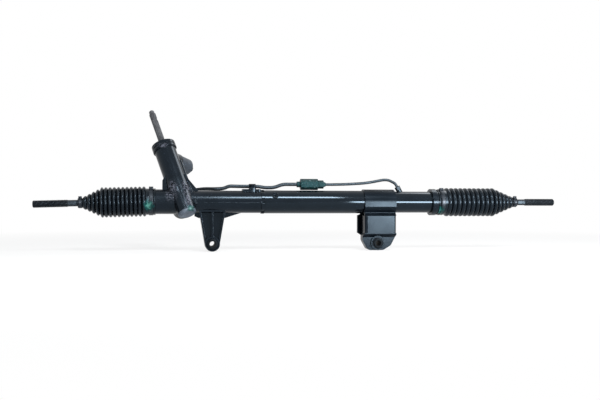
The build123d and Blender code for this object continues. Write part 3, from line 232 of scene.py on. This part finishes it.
def dab(material, centre, reach, colour):
    """Dab of green inspection paint over part of a finish, with a ragged darker edge."""
    edge_green = (0.002, 0.035, 0.033)
    tree, socket, under, place = base_colour(material)
    ragged = ragged_distance(tree, place, centre, reach)
    green = ramp(tree, ragged, colour, edge_green, low_at=0.02, high_at=0.55)
    tree.links.new(mix(tree, dab_share(tree, ragged), under, green), socket)


def worn_green(material, centre, reach):
    """Dark green paint over part of a finish, scratched down to a paler coat."""
    deep_green, mid_green, pale_coat = (0.002, 0.012, 0.013), (0.006, 0.034, 0.035), (0.17, 0.24, 0.25)
    tree, socket, under, place = base_colour(material)
    ragged = ragged_distance(tree, place, centre, reach)
    scratches = noise(tree, place, scale=330, detail=3, roughness=0.6)
    scratched = span(tree, scratches, low=0.0, high=0.8, low_at=0.61, high_at=0.70)
    green = ramp(tree, noise(tree, place, scale=420), deep_green, mid_green)
    green = mix(tree, scratched, green, pale_coat)
    tree.links.new(mix(tree, dab_share(tree, ragged), under, green), socket)


def pale_specks(material, centre, reach, colour):
    """Pale grain over part of a finish."""
    tree, socket, under, place = base_colour(material)
    near = span(tree, distance(tree, place, centre, reach), low=0.85, high=0.0, low_at=0.5, high_at=1.1)
    speck_noise = noise(tree, place, scale=230, detail=4, roughness=0.7)
    grains = span(tree, speck_noise, low=0.0, high=1.0, low_at=0.46, high_at=0.70)
    tree.links.new(mix(tree, maths(tree, "MULTIPLY", near, grains), under, colour), socket)


# ---- Finishes of the part -----------------------------------------------------------------------
cast_paint = painted("cast_paint", base=(0.0012, 0.0018, 0.003), worn=(0.0026, 0.0038, 0.006),
                     gloss=0.15, grain=300, grain_depth=0.000012, specular=0.25)
tube_paint = painted("tube_paint", base=(0.0010, 0.0016, 0.0026), worn=(0.0020, 0.0030, 0.0045),
                     gloss=0.065, grain=500, grain_depth=0.0000015, specular=0.30)
sheet_paint = painted("sheet_paint", base=(0.0016, 0.0026, 0.004), worn=(0.0030, 0.0046, 0.007),
                      gloss=0.17, grain=500, grain_depth=0.000005, specular=0.12)
line_paint = painted("line_paint", base=(0.006, 0.008, 0.010), worn=(0.014, 0.016, 0.018),
                     gloss=0.26, grain=900, grain_depth=0.00003, specular=0.4)
fitting_paint = painted("fitting_paint", base=(0.004, 0.005, 0.007), worn=(0.010, 0.012, 0.014),
                        gloss=0.28, grain=700, grain_depth=0.00004, specular=0.3)
union_paint = painted("union_paint", base=(0.003, 0.005, 0.007), worn=(0.006, 0.008, 0.011),
                      gloss=0.26, grain=700, grain_depth=0.00002, specular=0.13)
rubber = moulded("rubber", dark=(0.0010, 0.0016, 0.0026), light=(0.0028, 0.0040, 0.0056),
                 rough=0.17, specular=0.24, grain_depth=0.0000015, soft_edges=False)
mount_rubber = moulded("mount_rubber", dark=(0.003, 0.0035, 0.0045), light=(0.008, 0.009, 0.011),
                       rough=0.6, specular=0.2)
plastic = moulded("plastic", dark=(0.004, 0.005, 0.007), light=(0.008, 0.010, 0.013),
                  rough=0.38, specular=0.25)
seat_plastic = moulded("seat_plastic", dark=(0.55, 0.53, 0.47), light=(0.62, 0.60, 0.54), rough=0.4)
bare_steel = metal("bare_steel", dark=(0.30, 0.29, 0.28), light=(0.46, 0.45, 0.44), rough=0.3)
shaft_steel = metal("shaft_steel", dark=(0.038, 0.040, 0.045), light=(0.090, 0.094, 0.102),
                    rough=0.42, metallic=0.7)
dark_steel = painted("dark_steel", base=(0.003, 0.004, 0.005), worn=(0.008, 0.009, 0.011),
                     gloss=0.24, grain=260, grain_depth=0.000004, specular=0.26, soft_edges=False)
core_steel = painted("core_steel", base=(0.002, 0.0025, 0.003), worn=(0.006, 0.007, 0.008),
                     gloss=0.45, grain=300, grain_depth=0.00001, specular=0.08)
pale_metal = metal("pale_metal", dark=(0.05, 0.066, 0.09), light=(0.105, 0.13, 0.165),
                   rough=0.42, grain=500.0, metallic=0.5)
solenoid_metal = metal("solenoid_metal", dark=(0.015, 0.023, 0.034), light=(0.036, 0.048, 0.064),
                       rough=0.34, grain=500.0, metallic=0.5)
band_steel = metal("band_steel", dark=(0.008, 0.012, 0.017), light=(0.022, 0.028, 0.036),
                   rough=0.26, metallic=0.7)

# Inspection paint: a dab over each bellows' cuff and its clamp, one at the pinion cap, and the union
bright_green, dull_green, pale_green = (0.10, 0.31, 0.26), (0.018, 0.060, 0.060), (0.09, 0.18, 0.17)
for material in (band_steel, rubber):
    dab(material, centre=(-0.1358, -0.028, 0.0840), reach=(0.0100, 0.02, 0.0130), colour=bright_green)
    dab(material, centre=(0.5170, -0.025, 0.0735), reach=(0.0105, 0.02, 0.0105), colour=dull_green)
for material in (cast_paint, pale_metal):
    dab(material, centre=(-0.0480, -0.046, 0.0785), reach=(0.008, 0.02, 0.0065), colour=pale_green)
worn_green(union_paint, centre=(0.223, -0.004, 0.134), reach=(0.05, 0.02, 0.014))

# Pale grain on the casting: rubbed places at three spots round the tower's foot, and pale specks on the
# front of the tower's cover
violet_grey = (0.125, 0.130, 0.165)
pale_speck_places = (
    ((-0.088, -0.026, 0.116), (0.016, 0.022, 0.026)),
    ((-0.056, -0.026, 0.122), (0.012, 0.020, 0.022)),
    ((-0.052, -0.040, 0.096), (0.010, 0.018, 0.018)),
    ((-0.108, 0.013, 0.2165), (0.014, 0.012, 0.006)),
)
for centre, reach in pale_speck_places:
    pale_specks(cast_paint, centre, reach, violet_grey)

finish_of = {
    cast_paint: "rack_housing valve_cover gallery_plug end_collar yoke_plug yoke_lock_nut",
    tube_paint: "cylinder_tube tube_plug tube_lock_ring",
    sheet_paint: "bracket_front bracket_rear bracket_bush_tube mount_bush_sleeves line_clip clip_bolt",
    line_paint: "valve_line cylinder_line short_line",
    fitting_paint: "line_nuts",
    union_paint: "union_body union_nut",
    rubber: "left_bellows right_bellows input_shaft_seal",
    mount_rubber: "mount_bush_rubbers rack_seals",
    plastic: "solenoid_connector",
    seat_plastic: "left_ball_seat right_ball_seat rack_bush piston_ring",
    bare_steel: "rack_bar piston pinion torsion_bar valve_sleeve rack_yoke yoke_spring "
                "pinion_nut lower_pinion_bearing upper_pinion_bearing input_shaft_bearing bush_retainer "
                "left_ball_housing right_ball_housing lock_washers",
    shaft_steel: "input_shaft",
    core_steel: "mount_bush_cores",
    dark_steel: "left_tie_rod right_tie_rod",
    pale_metal: "pinion_cap",
    solenoid_metal: "solenoid",
    band_steel: "left_large_clamp right_large_clamp left_small_clamp right_small_clamp",
}
for material, names in finish_of.items():
    for name in names.split():
        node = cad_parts[name]
        node.data.materials.clear()
        node.data.materials.append(material)

# ---- Mesh helpers: from here to the floor, all lengths are millimetres --------------------------


class Shape:
    """Points and faces of one piece."""

    def __init__(self):
        self.points, self.faces = [], []

    def skin(self, rings, looped=False):
        """Faces between rings of equal length; a looped skin closes on its first ring."""
        first, around = len(self.points), len(rings[0])
        for ring_points in rings:
            self.points += ring_points
        pairs = [(row, row + 1) for row in range(len(rings) - 1)]
        if looped:
            pairs.append((len(rings) - 1, 0))
        for low, high in pairs:
            for at in range(around):
                after = (at + 1) % around
                corners = (low, at), (low, after), (high, after), (high, at)
                self.faces.append([first + row * around + column for row, column in corners])
        if not looped:
            self.faces.append([first + at for at in range(around)])
            self.faces.append([first + (len(rings) - 1) * around + at for at in range(around)])

    def piece(self, name, material, sharp=38):
        """Object with this shape; edges over the sharp angle stay crisp."""
        mesh = bpy.data.meshes.new(name)
        mesh.from_pydata([point * mm for point in self.points], [], self.faces)
        facing = bmesh.new()
        facing.from_mesh(mesh)
        bmesh.ops.recalc_face_normals(facing, faces=facing.faces)
        facing.to_mesh(mesh)
        facing.free()
        mesh.shade_smooth()
        mesh.set_sharp_from_angle(angle=radians(sharp))
        mesh.materials.append(material)
        made = bpy.data.objects.new(name, mesh)
        bpy.context.scene.collection.objects.link(made)
        return made


def across(direction):
    """Two directions square to this one; the first is as near upward as it can be."""
    side = direction.cross(Vector((0, 0, 1))).normalized()
    return side.cross(direction), side


def ring(origin, direction, along, radius, around=72):
    """Points round an axis; the radius is a number, or comes from the angle."""
    up, side = across(direction)
    found = []
    for step in range(around):
        angle = tau * step / around
        reach = radius(angle) if callable(radius) else radius
        found.append(origin + direction * along + (up * cos(angle) + side * sin(angle)) * reach)
    return found


def turned(origin, direction, outline, around=72):
    """Rings round an axis from an outline's places along it and radii."""
    return [ring(origin, direction, along, radius, around) for along, radius in outline]


# ---- Bellows ------------------------------------------------------------------------------------
left_ball, right_ball = Vector((-158.5, 0, rack_height / mm)), Vector((584.5, 0, rack_height / mm))
left_neck, right_neck = Vector((-141, 0, left_ball.z)), Vector((533.5, 0, right_ball.z))
droop = radians(1.5)
left_rod_direction = Vector((-cos(droop), 0, -sin(droop)))
ridge_radius, valley_radius, cuff_radius, small_end_radius = 32.7, 28.0, 28.6, 10.0
wall, ridge_count, cone_ridges, fold_end = 1.4, 15, 4, 117.0
steps_per_ridge, ridge_fullness, bellows_around = 12, 0.8, 96
folds_at, cuff_end = 1.0, 1.2  # past the neck: where the folds start, and where the cuff ends
cuff_back, cuff_bore, cuff_grip = 19.0, 27.1, 27.02
lip_rise, lip_bevel, lip_flat_from, lip_flat_to, lip_width = 0.5, 0.8, 0.6, 2.4, 3.2
shank_radius, shank_clearance = 7.0, 0.15
tip_sleeve = ((0.6, 0.3), (1.2, 0.0), (8.8, 0.0), (9.2, 0.6), (10.0, 0.3))  # past the folds, and rise
smooth_fold_angle = 60


def fold_outline(start, first, last):
    """Outer half section of the ridges from first up to last: even ones, then the cone."""
    pitch = (fold_end - start) / ridge_count

    def narrowed(radius, number):
        share = min(1, (ridge_count - number) / (cone_ridges + 1))
        return small_end_radius + (radius - small_end_radius) * share

    outline = []
    for ridge in range(first, last):
        before = narrowed(valley_radius, ridge) if ridge else cuff_radius
        after = narrowed(valley_radius, ridge + 1)
        crest = narrowed(ridge_radius, ridge)
        for step in range(steps_per_ridge + (ridge == last - 1)):
            part = step / steps_per_ridge
            swell = (crest - (before + after) / 2) * sin(pi * part) ** ridge_fullness
            outline.append((start + (ridge + part) * pitch, before + (after - before) * part + swell))
    return outline


def shell(outline):
    """Closed half section: the outline and the same line one wall further in."""
    inner = [(along, max(radius - wall, shank_radius + shank_clearance)) for along, radius in outline]
    return outline + inner[::-1]


def bellows(side, neck, outward, ball, direction, sections):
    """Cuff on the housing, the folds in sections, and the end on the rod."""
    node, rod = side + "_bellows", side + "_rod"
    cuff = Shape()
    lip_radius = cuff_radius + lip_rise
    lip = [(-cuff_back, lip_radius - lip_bevel), (lip_flat_from - cuff_back, lip_radius),
           (lip_flat_to - cuff_back, lip_radius), (lip_width - cuff_back, cuff_radius),
           (cuff_end, cuff_radius)]
    bore = [(cuff_end, cuff_bore), (-cuff_back, cuff_grip)]
    cuff.skin(turned(neck, outward, lip + bore), looped=True)
    made = cuff.piece(side + "_bellows_cuff", rubber)
    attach(made, "housing")
    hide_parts(node)
    start = (neck - ball).dot(outward) + folds_at
    ridge = 0
    for number, (first_body, next_body, folds, low, high) in enumerate(sections):
        part = Shape()
        outline = fold_outline(start, ridge, ridge + folds)
        part.skin(turned(ball, direction, shell(outline), bellows_around), looped=True)
        made = part.piece(f"{side}_bellows_folds_{number}", rubber, smooth_fold_angle)
        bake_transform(made)
        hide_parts(node)
        ridge += folds
    tip = Shape()
    outline = fold_outline(start, ridge, ridge_count)
    outline += [(fold_end + along, small_end_radius + rise) for along, rise in tip_sleeve]
    tip.skin(turned(ball, direction, shell(outline), bellows_around), looped=True)
    made = tip.piece(side + "_bellows_tip", rubber, smooth_fold_angle)
    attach(made, rod)
    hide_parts(node)


# Each section: the two bodies it passes between, its folds, and the second body's weight at its ends
bellows("left", left_neck, -along_rack, left_ball, left_rod_direction, (
    ("housing", "rack", 2, 0.0, 0.22),
    ("housing", "rack", 3, 0.22, 0.78),
    ("housing", "rack", 2, 0.78, 1.0),
    ("rack", "left_seat", 2, 0.0, 1.0),
    ("left_seat", "left_rod", 3, 0.0, 1.0),
))
bellows("right", right_neck, along_rack, right_ball, along_rack, (
    ("housing", "rack", 1, 0.0, 0.055),
    ("housing", "rack", 2, 0.055, 0.26),
    ("housing", "rack", 4, 0.26, 0.74),
    ("housing", "rack", 2, 0.74, 0.945),
    ("housing", "rack", 1, 0.945, 1.0),
    ("rack", "right_seat", 1, 0.0, 1.0),
    ("right_seat", "right_rod", 2, 0.0, 1.0),
))

# ---- Clamps -------------------------------------------------------------------------------------
clamp_band, large_width, small_width = 1.3, 9.0, 7.0
large_inset, small_at = 9.5, 122.0
large_ear, small_ear = 4.6, 4.0
ear_angle = radians(20)
edge_drop, roll_at, roll_rise, flat_at = 0.1, 0.4, 0.15, 1.0  # section of the band's rolled edges
ear_chamfer = 0.35
tail_steps, tail_start, tail_step, tail_inset = 24, 14, 4, 1.2  # the two angles in degrees
tail_foot, tail_top, tail_taper = 0.3, 0.75, 0.8
tail_bevel, tail_bevel_drop = 0.2, 0.15


def ear_section(radius, size):
    """Closed outline of the pinched ear: distances across it and heights from the axis."""
    outer = [(-1.35, 0.02), (-0.75, 0.16), (-0.5, 0.4), (-0.56, 0.72), (-0.38, 0.96), (0, 1.04)]
    inner = [(-1.0, -0.08), (-0.5, 0.0), (-0.28, 0.35), (-0.34, 0.66), (-0.22, 0.8), (0, 0.84)]
    outer += [(-across_ear, height) for across_ear, height in outer[-2::-1]]
    inner += [(-across_ear, height) for across_ear, height in inner[-2::-1]]
    return [(across_ear * size, radius + height * size) for across_ear, height in outer + inner[::-1]]


def band_clamp(name, node, body, origin, direction, radius, width, ear_size):
    """Thin band with rolled edges, its overlapping tail and the pinched ear."""
    part = Shape()
    half, outer = width / 2, radius + clamp_band
    edge, roll = outer - edge_drop, outer + roll_rise
    outline = [(-half, radius), (-half, edge), (-half + roll_at, roll), (-half + flat_at, edge),
               (half - flat_at, edge), (half - roll_at, roll), (half, edge), (half, radius)]
    part.skin(turned(origin, direction, outline, bellows_around), looped=True)

    up, side = across(direction)
    front = side if side.y < 0 else -side
    ear_up = up * cos(ear_angle) + front * sin(ear_angle)
    ear_side = direction.cross(ear_up)
    section = ear_section(edge, ear_size)
    middle = sum(height for _, height in section) / len(section)
    rings = []
    for along, inset in ((-half, ear_chamfer), (-half + ear_chamfer, 0),
                         (half - ear_chamfer, 0), (half, ear_chamfer)):
        shrink = 1 - inset / ear_size
        rings.append([origin + direction * along + ear_side * (offset * shrink)
                      + ear_up * (middle + (height - middle) * shrink) for offset, height in section])
    part.skin(rings)

    # Overlapping tail: an arc of the same strip on top of the band
    tail = []
    low, high = outer - tail_foot, outer + tail_top
    for step in range(tail_steps + 1):
        angle = ear_angle + radians(tail_start + tail_step * step)
        out = up * cos(angle) + front * sin(angle)
        narrow = half - tail_inset - (tail_taper if step in (0, tail_steps) else 0)
        shoulder, flat = high - tail_bevel_drop, narrow - tail_bevel
        corners = ((-narrow, low), (-narrow, shoulder), (-flat, high),
                   (flat, high), (narrow, shoulder), (narrow, low))
        tail.append([origin + direction * along + out * height for along, height in corners])
    part.skin(tail)
    made = part.piece(name, band_steel, 30)
    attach(made, body)
    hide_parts(node)


band_clamp("left_large_band", "left_large_clamp", "housing", left_neck + along_rack * large_inset,
           along_rack, cuff_radius, large_width, large_ear)
band_clamp("right_large_band", "right_large_clamp", "housing", right_neck - along_rack * large_inset,
           along_rack, cuff_radius, large_width, large_ear)
band_clamp("left_small_band", "left_small_clamp", "left_rod", left_ball + left_rod_direction * small_at,
           left_rod_direction, small_end_radius, small_width, small_ear)
band_clamp("right_small_band", "right_small_clamp", "right_rod", right_ball + along_rack * small_at,
           along_rack, small_end_radius, small_width, small_ear)

# ---- Tie rods -----------------------------------------------------------------------------------
rod_length, rod_around = 220.0, 48
ball_radius, ball_steps, neck_at = 12.0, 18, 11.25
shank_start, shank_step, shank_rings = 12, 6, 19
flats_start, flats_length, flats_across = 130.0, 17.0, 12.0
flats_lead, flats_run_out = 1.2, 0.6
thread_length, thread_pitch, thread_radius = 72.0, 1.5, 8.0
thread_depth, thread_sharpness, thread_step = 0.92, 1.2, 0.21
thread_lead, run_in_rise, run_in_slope = 0.2, 0.2, 0.9
tip_chamfer, tip_core = 1.5, 5.5


def thread_ring(origin, direction, along):
    """One ring of the helical thread, with its run-in and the chamfered end."""

    def radius(angle):
        share = (along / thread_pitch - angle / tau) % 1
        height = thread_radius - thread_depth * (1 - abs(2 * share - 1)) ** thread_sharpness
        run_in = shank_radius + run_in_rise + (along - (rod_length - thread_length)) * run_in_slope
        chamfer = thread_radius - (along - rod_length + tip_chamfer)
        return max(min(height, chamfer, run_in), tip_core)

    return ring(origin, direction, along, radius, rod_around)


def flatten(points):
    """Cuts the spanner flats into a ring, at its front and its back."""
    half = flats_across / 2
    return [Vector((point.x, max(min(point.y, half), -half), point.z)) for point in points]


def tie_rod(side, ball, direction):
    """Ball, shank with spanner flats, and the thread."""
    part = Shape()
    ball_end = acos(shank_radius / ball_radius)
    sweep = [(-pi / 2 + (pi / 2 + ball_end) * step / ball_steps) for step in range(1, ball_steps + 1)]
    outline = [(ball_radius * sin(turn), ball_radius * cos(turn)) for turn in sweep]
    outline += [(neck_at, shank_radius)]
    outline += [(shank_start + shank_step * step, shank_radius) for step in range(shank_rings)]
    outline += [(flats_start - flats_lead, shank_radius)]
    rings = turned(ball, direction, outline, rod_around)
    flats_end = flats_start + flats_length
    for along in (flats_start, flats_start + 1, flats_end - 1, flats_end):
        rings.append(flatten(ring(ball, direction, along, shank_radius, rod_around)))
    rings += turned(ball, direction, [(flats_end + flats_run_out, shank_radius)], rod_around)
    thread_start = rod_length - thread_length + thread_lead
    count = int((rod_length - thread_start) / thread_step)
    rings += [thread_ring(ball, direction, thread_start + thread_step * step) for step in range(count)]
    rings.append(thread_ring(ball, direction, rod_length))
    part.skin(rings)
    made = part.piece(side + "_rod_detail", dark_steel, 32)
    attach(made, side + "_rod")
    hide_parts(side + "_tie_rod")


tie_rod("left", left_ball, left_rod_direction)
tie_rod("right", right_ball, along_rack)

# ---- Input shaft --------------------------------------------------------------------------------
lean, tilt = radians(17.15), radians(26.25)
pinion_direction = Vector((-sin(lean), cos(lean) * sin(tilt), cos(lean) * cos(tilt)))
mesh_normal = Vector((0, -cos(tilt), sin(tilt)))
tower_right = pinion_direction.cross(mesh_normal)
pinion_x, centre_distance = -65.5, 16.796  # where the pinion crosses the rack, and how far from its axis
pinion_origin = Vector((pinion_x, 0, rack_height / mm)) + mesh_normal * centre_distance
spool_start, spool_end, spool_radius, spool_chamfer = 52, 124, 11.0, 0.6
journal_radius, journal_end, journal_chamfer = 7.5, 149, 0.8
shaft_radius, shaft_around = 7.3, 216
flute_count, flute_depth, flute_fullness = 36, 0.55, 0.7
flutes_start, flutes_end = 150, 222
groove_at, groove_radius, groove_depth = 206.0, 5.0, 1.8
tip_radius, tip_rise, shaft_top, shaft_bore = 5.8, 0.3, 231, 4.0
tip_blend_start, tip_blend_end, nose_length, nose_radius, bore_chamfer = 1.2, 1.6, 1.8, 4.4, 0.05


def fluted(angle):
    """Radius of the serrated shaft at an angle."""
    return shaft_radius - flute_depth * (0.5 - 0.5 * cos(flute_count * angle)) ** flute_fullness


def input_shaft():
    """Valve spool, plain journal, serrations with the pinch groove, and the chamfered tip."""
    plain = [(spool_start, spool_radius), (spool_start + spool_chamfer, spool_radius),
             (spool_end - spool_chamfer, spool_radius), (spool_end, spool_radius - spool_chamfer),
             (spool_end, journal_radius), (journal_end, journal_radius),
             (journal_end + journal_chamfer, shaft_radius)]
    rings = turned(pinion_origin, pinion_direction, plain, shaft_around)
    cut_line = shaft_radius - groove_depth + groove_radius
    for along in range(flutes_start, flutes_end + 1):
        flutes = ring(pinion_origin, pinion_direction, along, fluted, shaft_around)
        off = along - groove_at
        if abs(off) < groove_radius:
            deepest = cut_line - sqrt(groove_radius ** 2 - off ** 2)
            flutes = [point - tower_right * max((point - pinion_origin).dot(tower_right) - deepest, 0)
                      for point in flutes]
        rings.append(flutes)
    tip = [(flutes_end + tip_blend_start, tip_radius + tip_rise),
           (flutes_end + tip_blend_end, tip_radius), (shaft_top - nose_length, tip_radius),
           (shaft_top, nose_radius), (shaft_top, shaft_bore + bore_chamfer),
           (shaft_top - 2 * bore_chamfer, shaft_bore)]
    rings += turned(pinion_origin, pinion_direction, tip, shaft_around)
    part = Shape()
    part.skin(rings)
    made = part.piece("input_shaft_detail", shaft_steel, 28)
    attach(made, "input_shaft")
    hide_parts("input_shaft")


input_shaft()

# ---- Small details of the bracket and the cast tube ---------------------------------------------
weld_places = ((374.1, 74.0), (403.4, 74.1))  # along the rack and upward, on the bracket's front
weld_outline = [(-0.3, 3.2), (0.1, 3.1), (0.45, 2.5), (0.62, 1.7), (0.45, 0.9), (0.4, 0.3)]
weld_around, well_in_front, backward = 28, -200, Vector((0, 1, 0))
rib_start, rib_end, rib_steps = -20.0, 104.0, 62
rib_radius, rib_drop = 24.75, 2
rib_foot, rib_width, rib_depth, rib_height = 0.9, 0.35, -0.4, 0.35
rib_waves, rib_end_share = ((0.06, 0.9), (0.04, 2.3)), 0.05  # each wave's height and radians per mm


def seat_on(node, place, towards):
    """Point of a node's surface met by a line from place, and the surface's direction there."""
    hit, point, facing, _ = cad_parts[node].ray_cast(place * mm, towards)
    if not hit:
        raise ValueError("nothing of " + node + " there")
    return point / mm, facing


def weld_dots():
    """Two plug welds that stand a little proud of the bracket."""
    part = Shape()
    for along, height in weld_places:
        point, facing = seat_on("bracket_front", Vector((along, well_in_front, height)), backward)
        part.skin(turned(point, facing.normalized(), weld_outline, weld_around))
    made = part.piece("bracket_weld_dots", sheet_paint, 60)
    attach(made, "housing")


def parting_rib():
    """Trimmed flash that runs along the front of the cast tube."""
    part = Shape()
    rings = []
    for step in range(rib_steps + 1):
        along = rib_start + (rib_end - rib_start) * step / rib_steps
        ends = rib_end_share if step in (0, rib_steps) else 1.0
        crest = rib_height + sum(height * sin(along * rate) for height, rate in rib_waves)
        profile = ((-rib_foot, rib_depth), (-rib_width, crest), (rib_width, crest), (rib_foot, rib_depth))
        rings.append([Vector((along, -(rib_radius + rise * ends), rack_height / mm - rib_drop + tall))
                      for tall, rise in profile])
    part.skin(rings)
    made = part.piece("cast_parting_rib", cast_paint, 60)
    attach(made, "housing")


weld_dots()
parting_rib()

# ---- Floor, light and camera: metres ------------------------------------------------------------
floor_height = cad_box[0][2] - 0.0005
floor_reach = 30.0
shadow_centre, shadow_reach = (0.2, 0.0, floor_height), (1.0, 0.8, 1.0)
floor_colour, sky_colour, sky_level = (0.86, 0.87, 0.88, 1), (0.92, 0.96, 1.0, 1), 0.25
view_place, view_yaw, view_roll = (-0.0923, -1.726, 0.0963), radians(9.5), -0.0022
sensor_width, focal_length = 36.0, 46.8


def background(tree, lit):
    """White wherever the camera, a reflection or a see-through ray meets it, and lit for the rest."""
    path = tree.nodes.new("ShaderNodeLightPath").outputs
    seen = maths(tree, "ADD", path["Is Camera Ray"], path["Is Glossy Ray"])
    seen = maths(tree, "MINIMUM", maths(tree, "ADD", seen, path["Is Transmission Ray"]), 1.0)
    white = tree.nodes.new("ShaderNodeEmission")
    white.inputs["Strength"].default_value = 1.0
    joined = tree.nodes.new("ShaderNodeMixShader")
    tree.links.new(seen, joined.inputs["Fac"])
    tree.links.new(lit, joined.inputs[1])
    tree.links.new(white.outputs["Emission"], joined.inputs[2])
    return joined.outputs["Shader"]


def floor_material():
    """White floor that keeps the part's shadow near it and fades to plain white further off."""
    material, tree, shader, place = new_material("pale_floor")
    shader.inputs["Base Color"].default_value = floor_colour
    shader.inputs["Roughness"].default_value = 0.8
    away = distance(tree, place, shadow_centre, shadow_reach)
    shade = tree.nodes.new("ShaderNodeMixShader")
    tree.links.new(span(tree, away, low=0.22, high=0.0, low_at=0.7, high_at=1.6), shade.inputs["Fac"])
    tree.links.new(background(tree, shader.outputs["BSDF"]), shade.inputs[1])
    tree.links.new(shader.outputs["BSDF"], shade.inputs[2])
    tree.links.new(shade.outputs["Shader"], tree.nodes["Material Output"].inputs["Surface"])
    return material


def add_floor():
    """Square floor just under the part."""
    mesh = bpy.data.meshes.new("studio_floor")
    corners = [(x, y, floor_height) for x, y in ((-1, -1), (1, -1), (1, 1), (-1, 1))]
    mesh.from_pydata([(x * floor_reach, y * floor_reach, z) for x, y, z in corners], [], [(0, 1, 2, 3)])
    mesh.materials.append(floor_material())
    floor = bpy.data.objects.new("studio_floor", mesh)
    bpy.context.scene.collection.objects.link(floor)


def add_world():
    """Studio that the camera and reflections see as white, and that lights the part more dimly."""
    world = bpy.data.worlds.new("studio")
    bpy.context.scene.world = world
    world.use_nodes = True
    tree = world.node_tree
    dim = tree.nodes["Background"]
    dim.inputs["Color"].default_value = sky_colour
    dim.inputs["Strength"].default_value = sky_level
    surface = tree.nodes["World Output"].inputs["Surface"]
    tree.links.new(background(tree, dim.outputs["Background"]), surface)


def add_lamp(name, place, target, width, height, power):
    """Rectangular lamp that faces its target; the power is in watts."""
    data = bpy.data.lights.new(name, "AREA")
    data.shape = "RECTANGLE"
    data.size, data.size_y, data.energy = width, height, power
    lamp = bpy.data.objects.new(name, data)
    lamp.location = place
    lamp.rotation_euler = (Vector(target) - Vector(place)).to_track_quat("-Z", "Y").to_euler()
    bpy.context.scene.collection.objects.link(lamp)


def add_camera():
    """Level camera to the left of the part, with the slight roll of the photographed one."""
    data = bpy.data.cameras.new("camera")
    data.sensor_width, data.lens = sensor_width, focal_length
    camera = bpy.data.objects.new("camera", data)
    ahead = Vector((sin(view_yaw), cos(view_yaw), 0))
    level = ahead.to_track_quat("-Z", "Y")
    camera.location = view_place
    camera.rotation_euler = (Matrix.Rotation(view_roll, 3, ahead) @ level.to_matrix()).to_euler()
    bpy.context.scene.collection.objects.link(camera)
    bpy.context.scene.camera = camera


add_floor()
add_world()
add_lamp("left_overhead", (0.35, -1.05, 1.15), (0.18, 0.0, rack_height), 0.50, 0.32, 20)
add_lamp("right_front", (0.80, -0.80, rack_height), (0.46, 0.0, 0.08), 0.60, 0.20, 16)
add_lamp("right_behind", (0.97, 0.35, 1.05), (0.12, 0.0, 0.12), 0.60, 0.40, 4)
add_lamp("left_strip", (-0.345, -0.85, 0.41), (-0.24, 0.0, 0.09), 0.12, 0.80, 5)
add_lamp("right_strip", (1.0, -0.80, 0.42), (0.56, 0.0, 0.09), 0.10, 0.80, 3)
add_camera()

bpy.context.scene.view_settings.view_transform = "Standard"
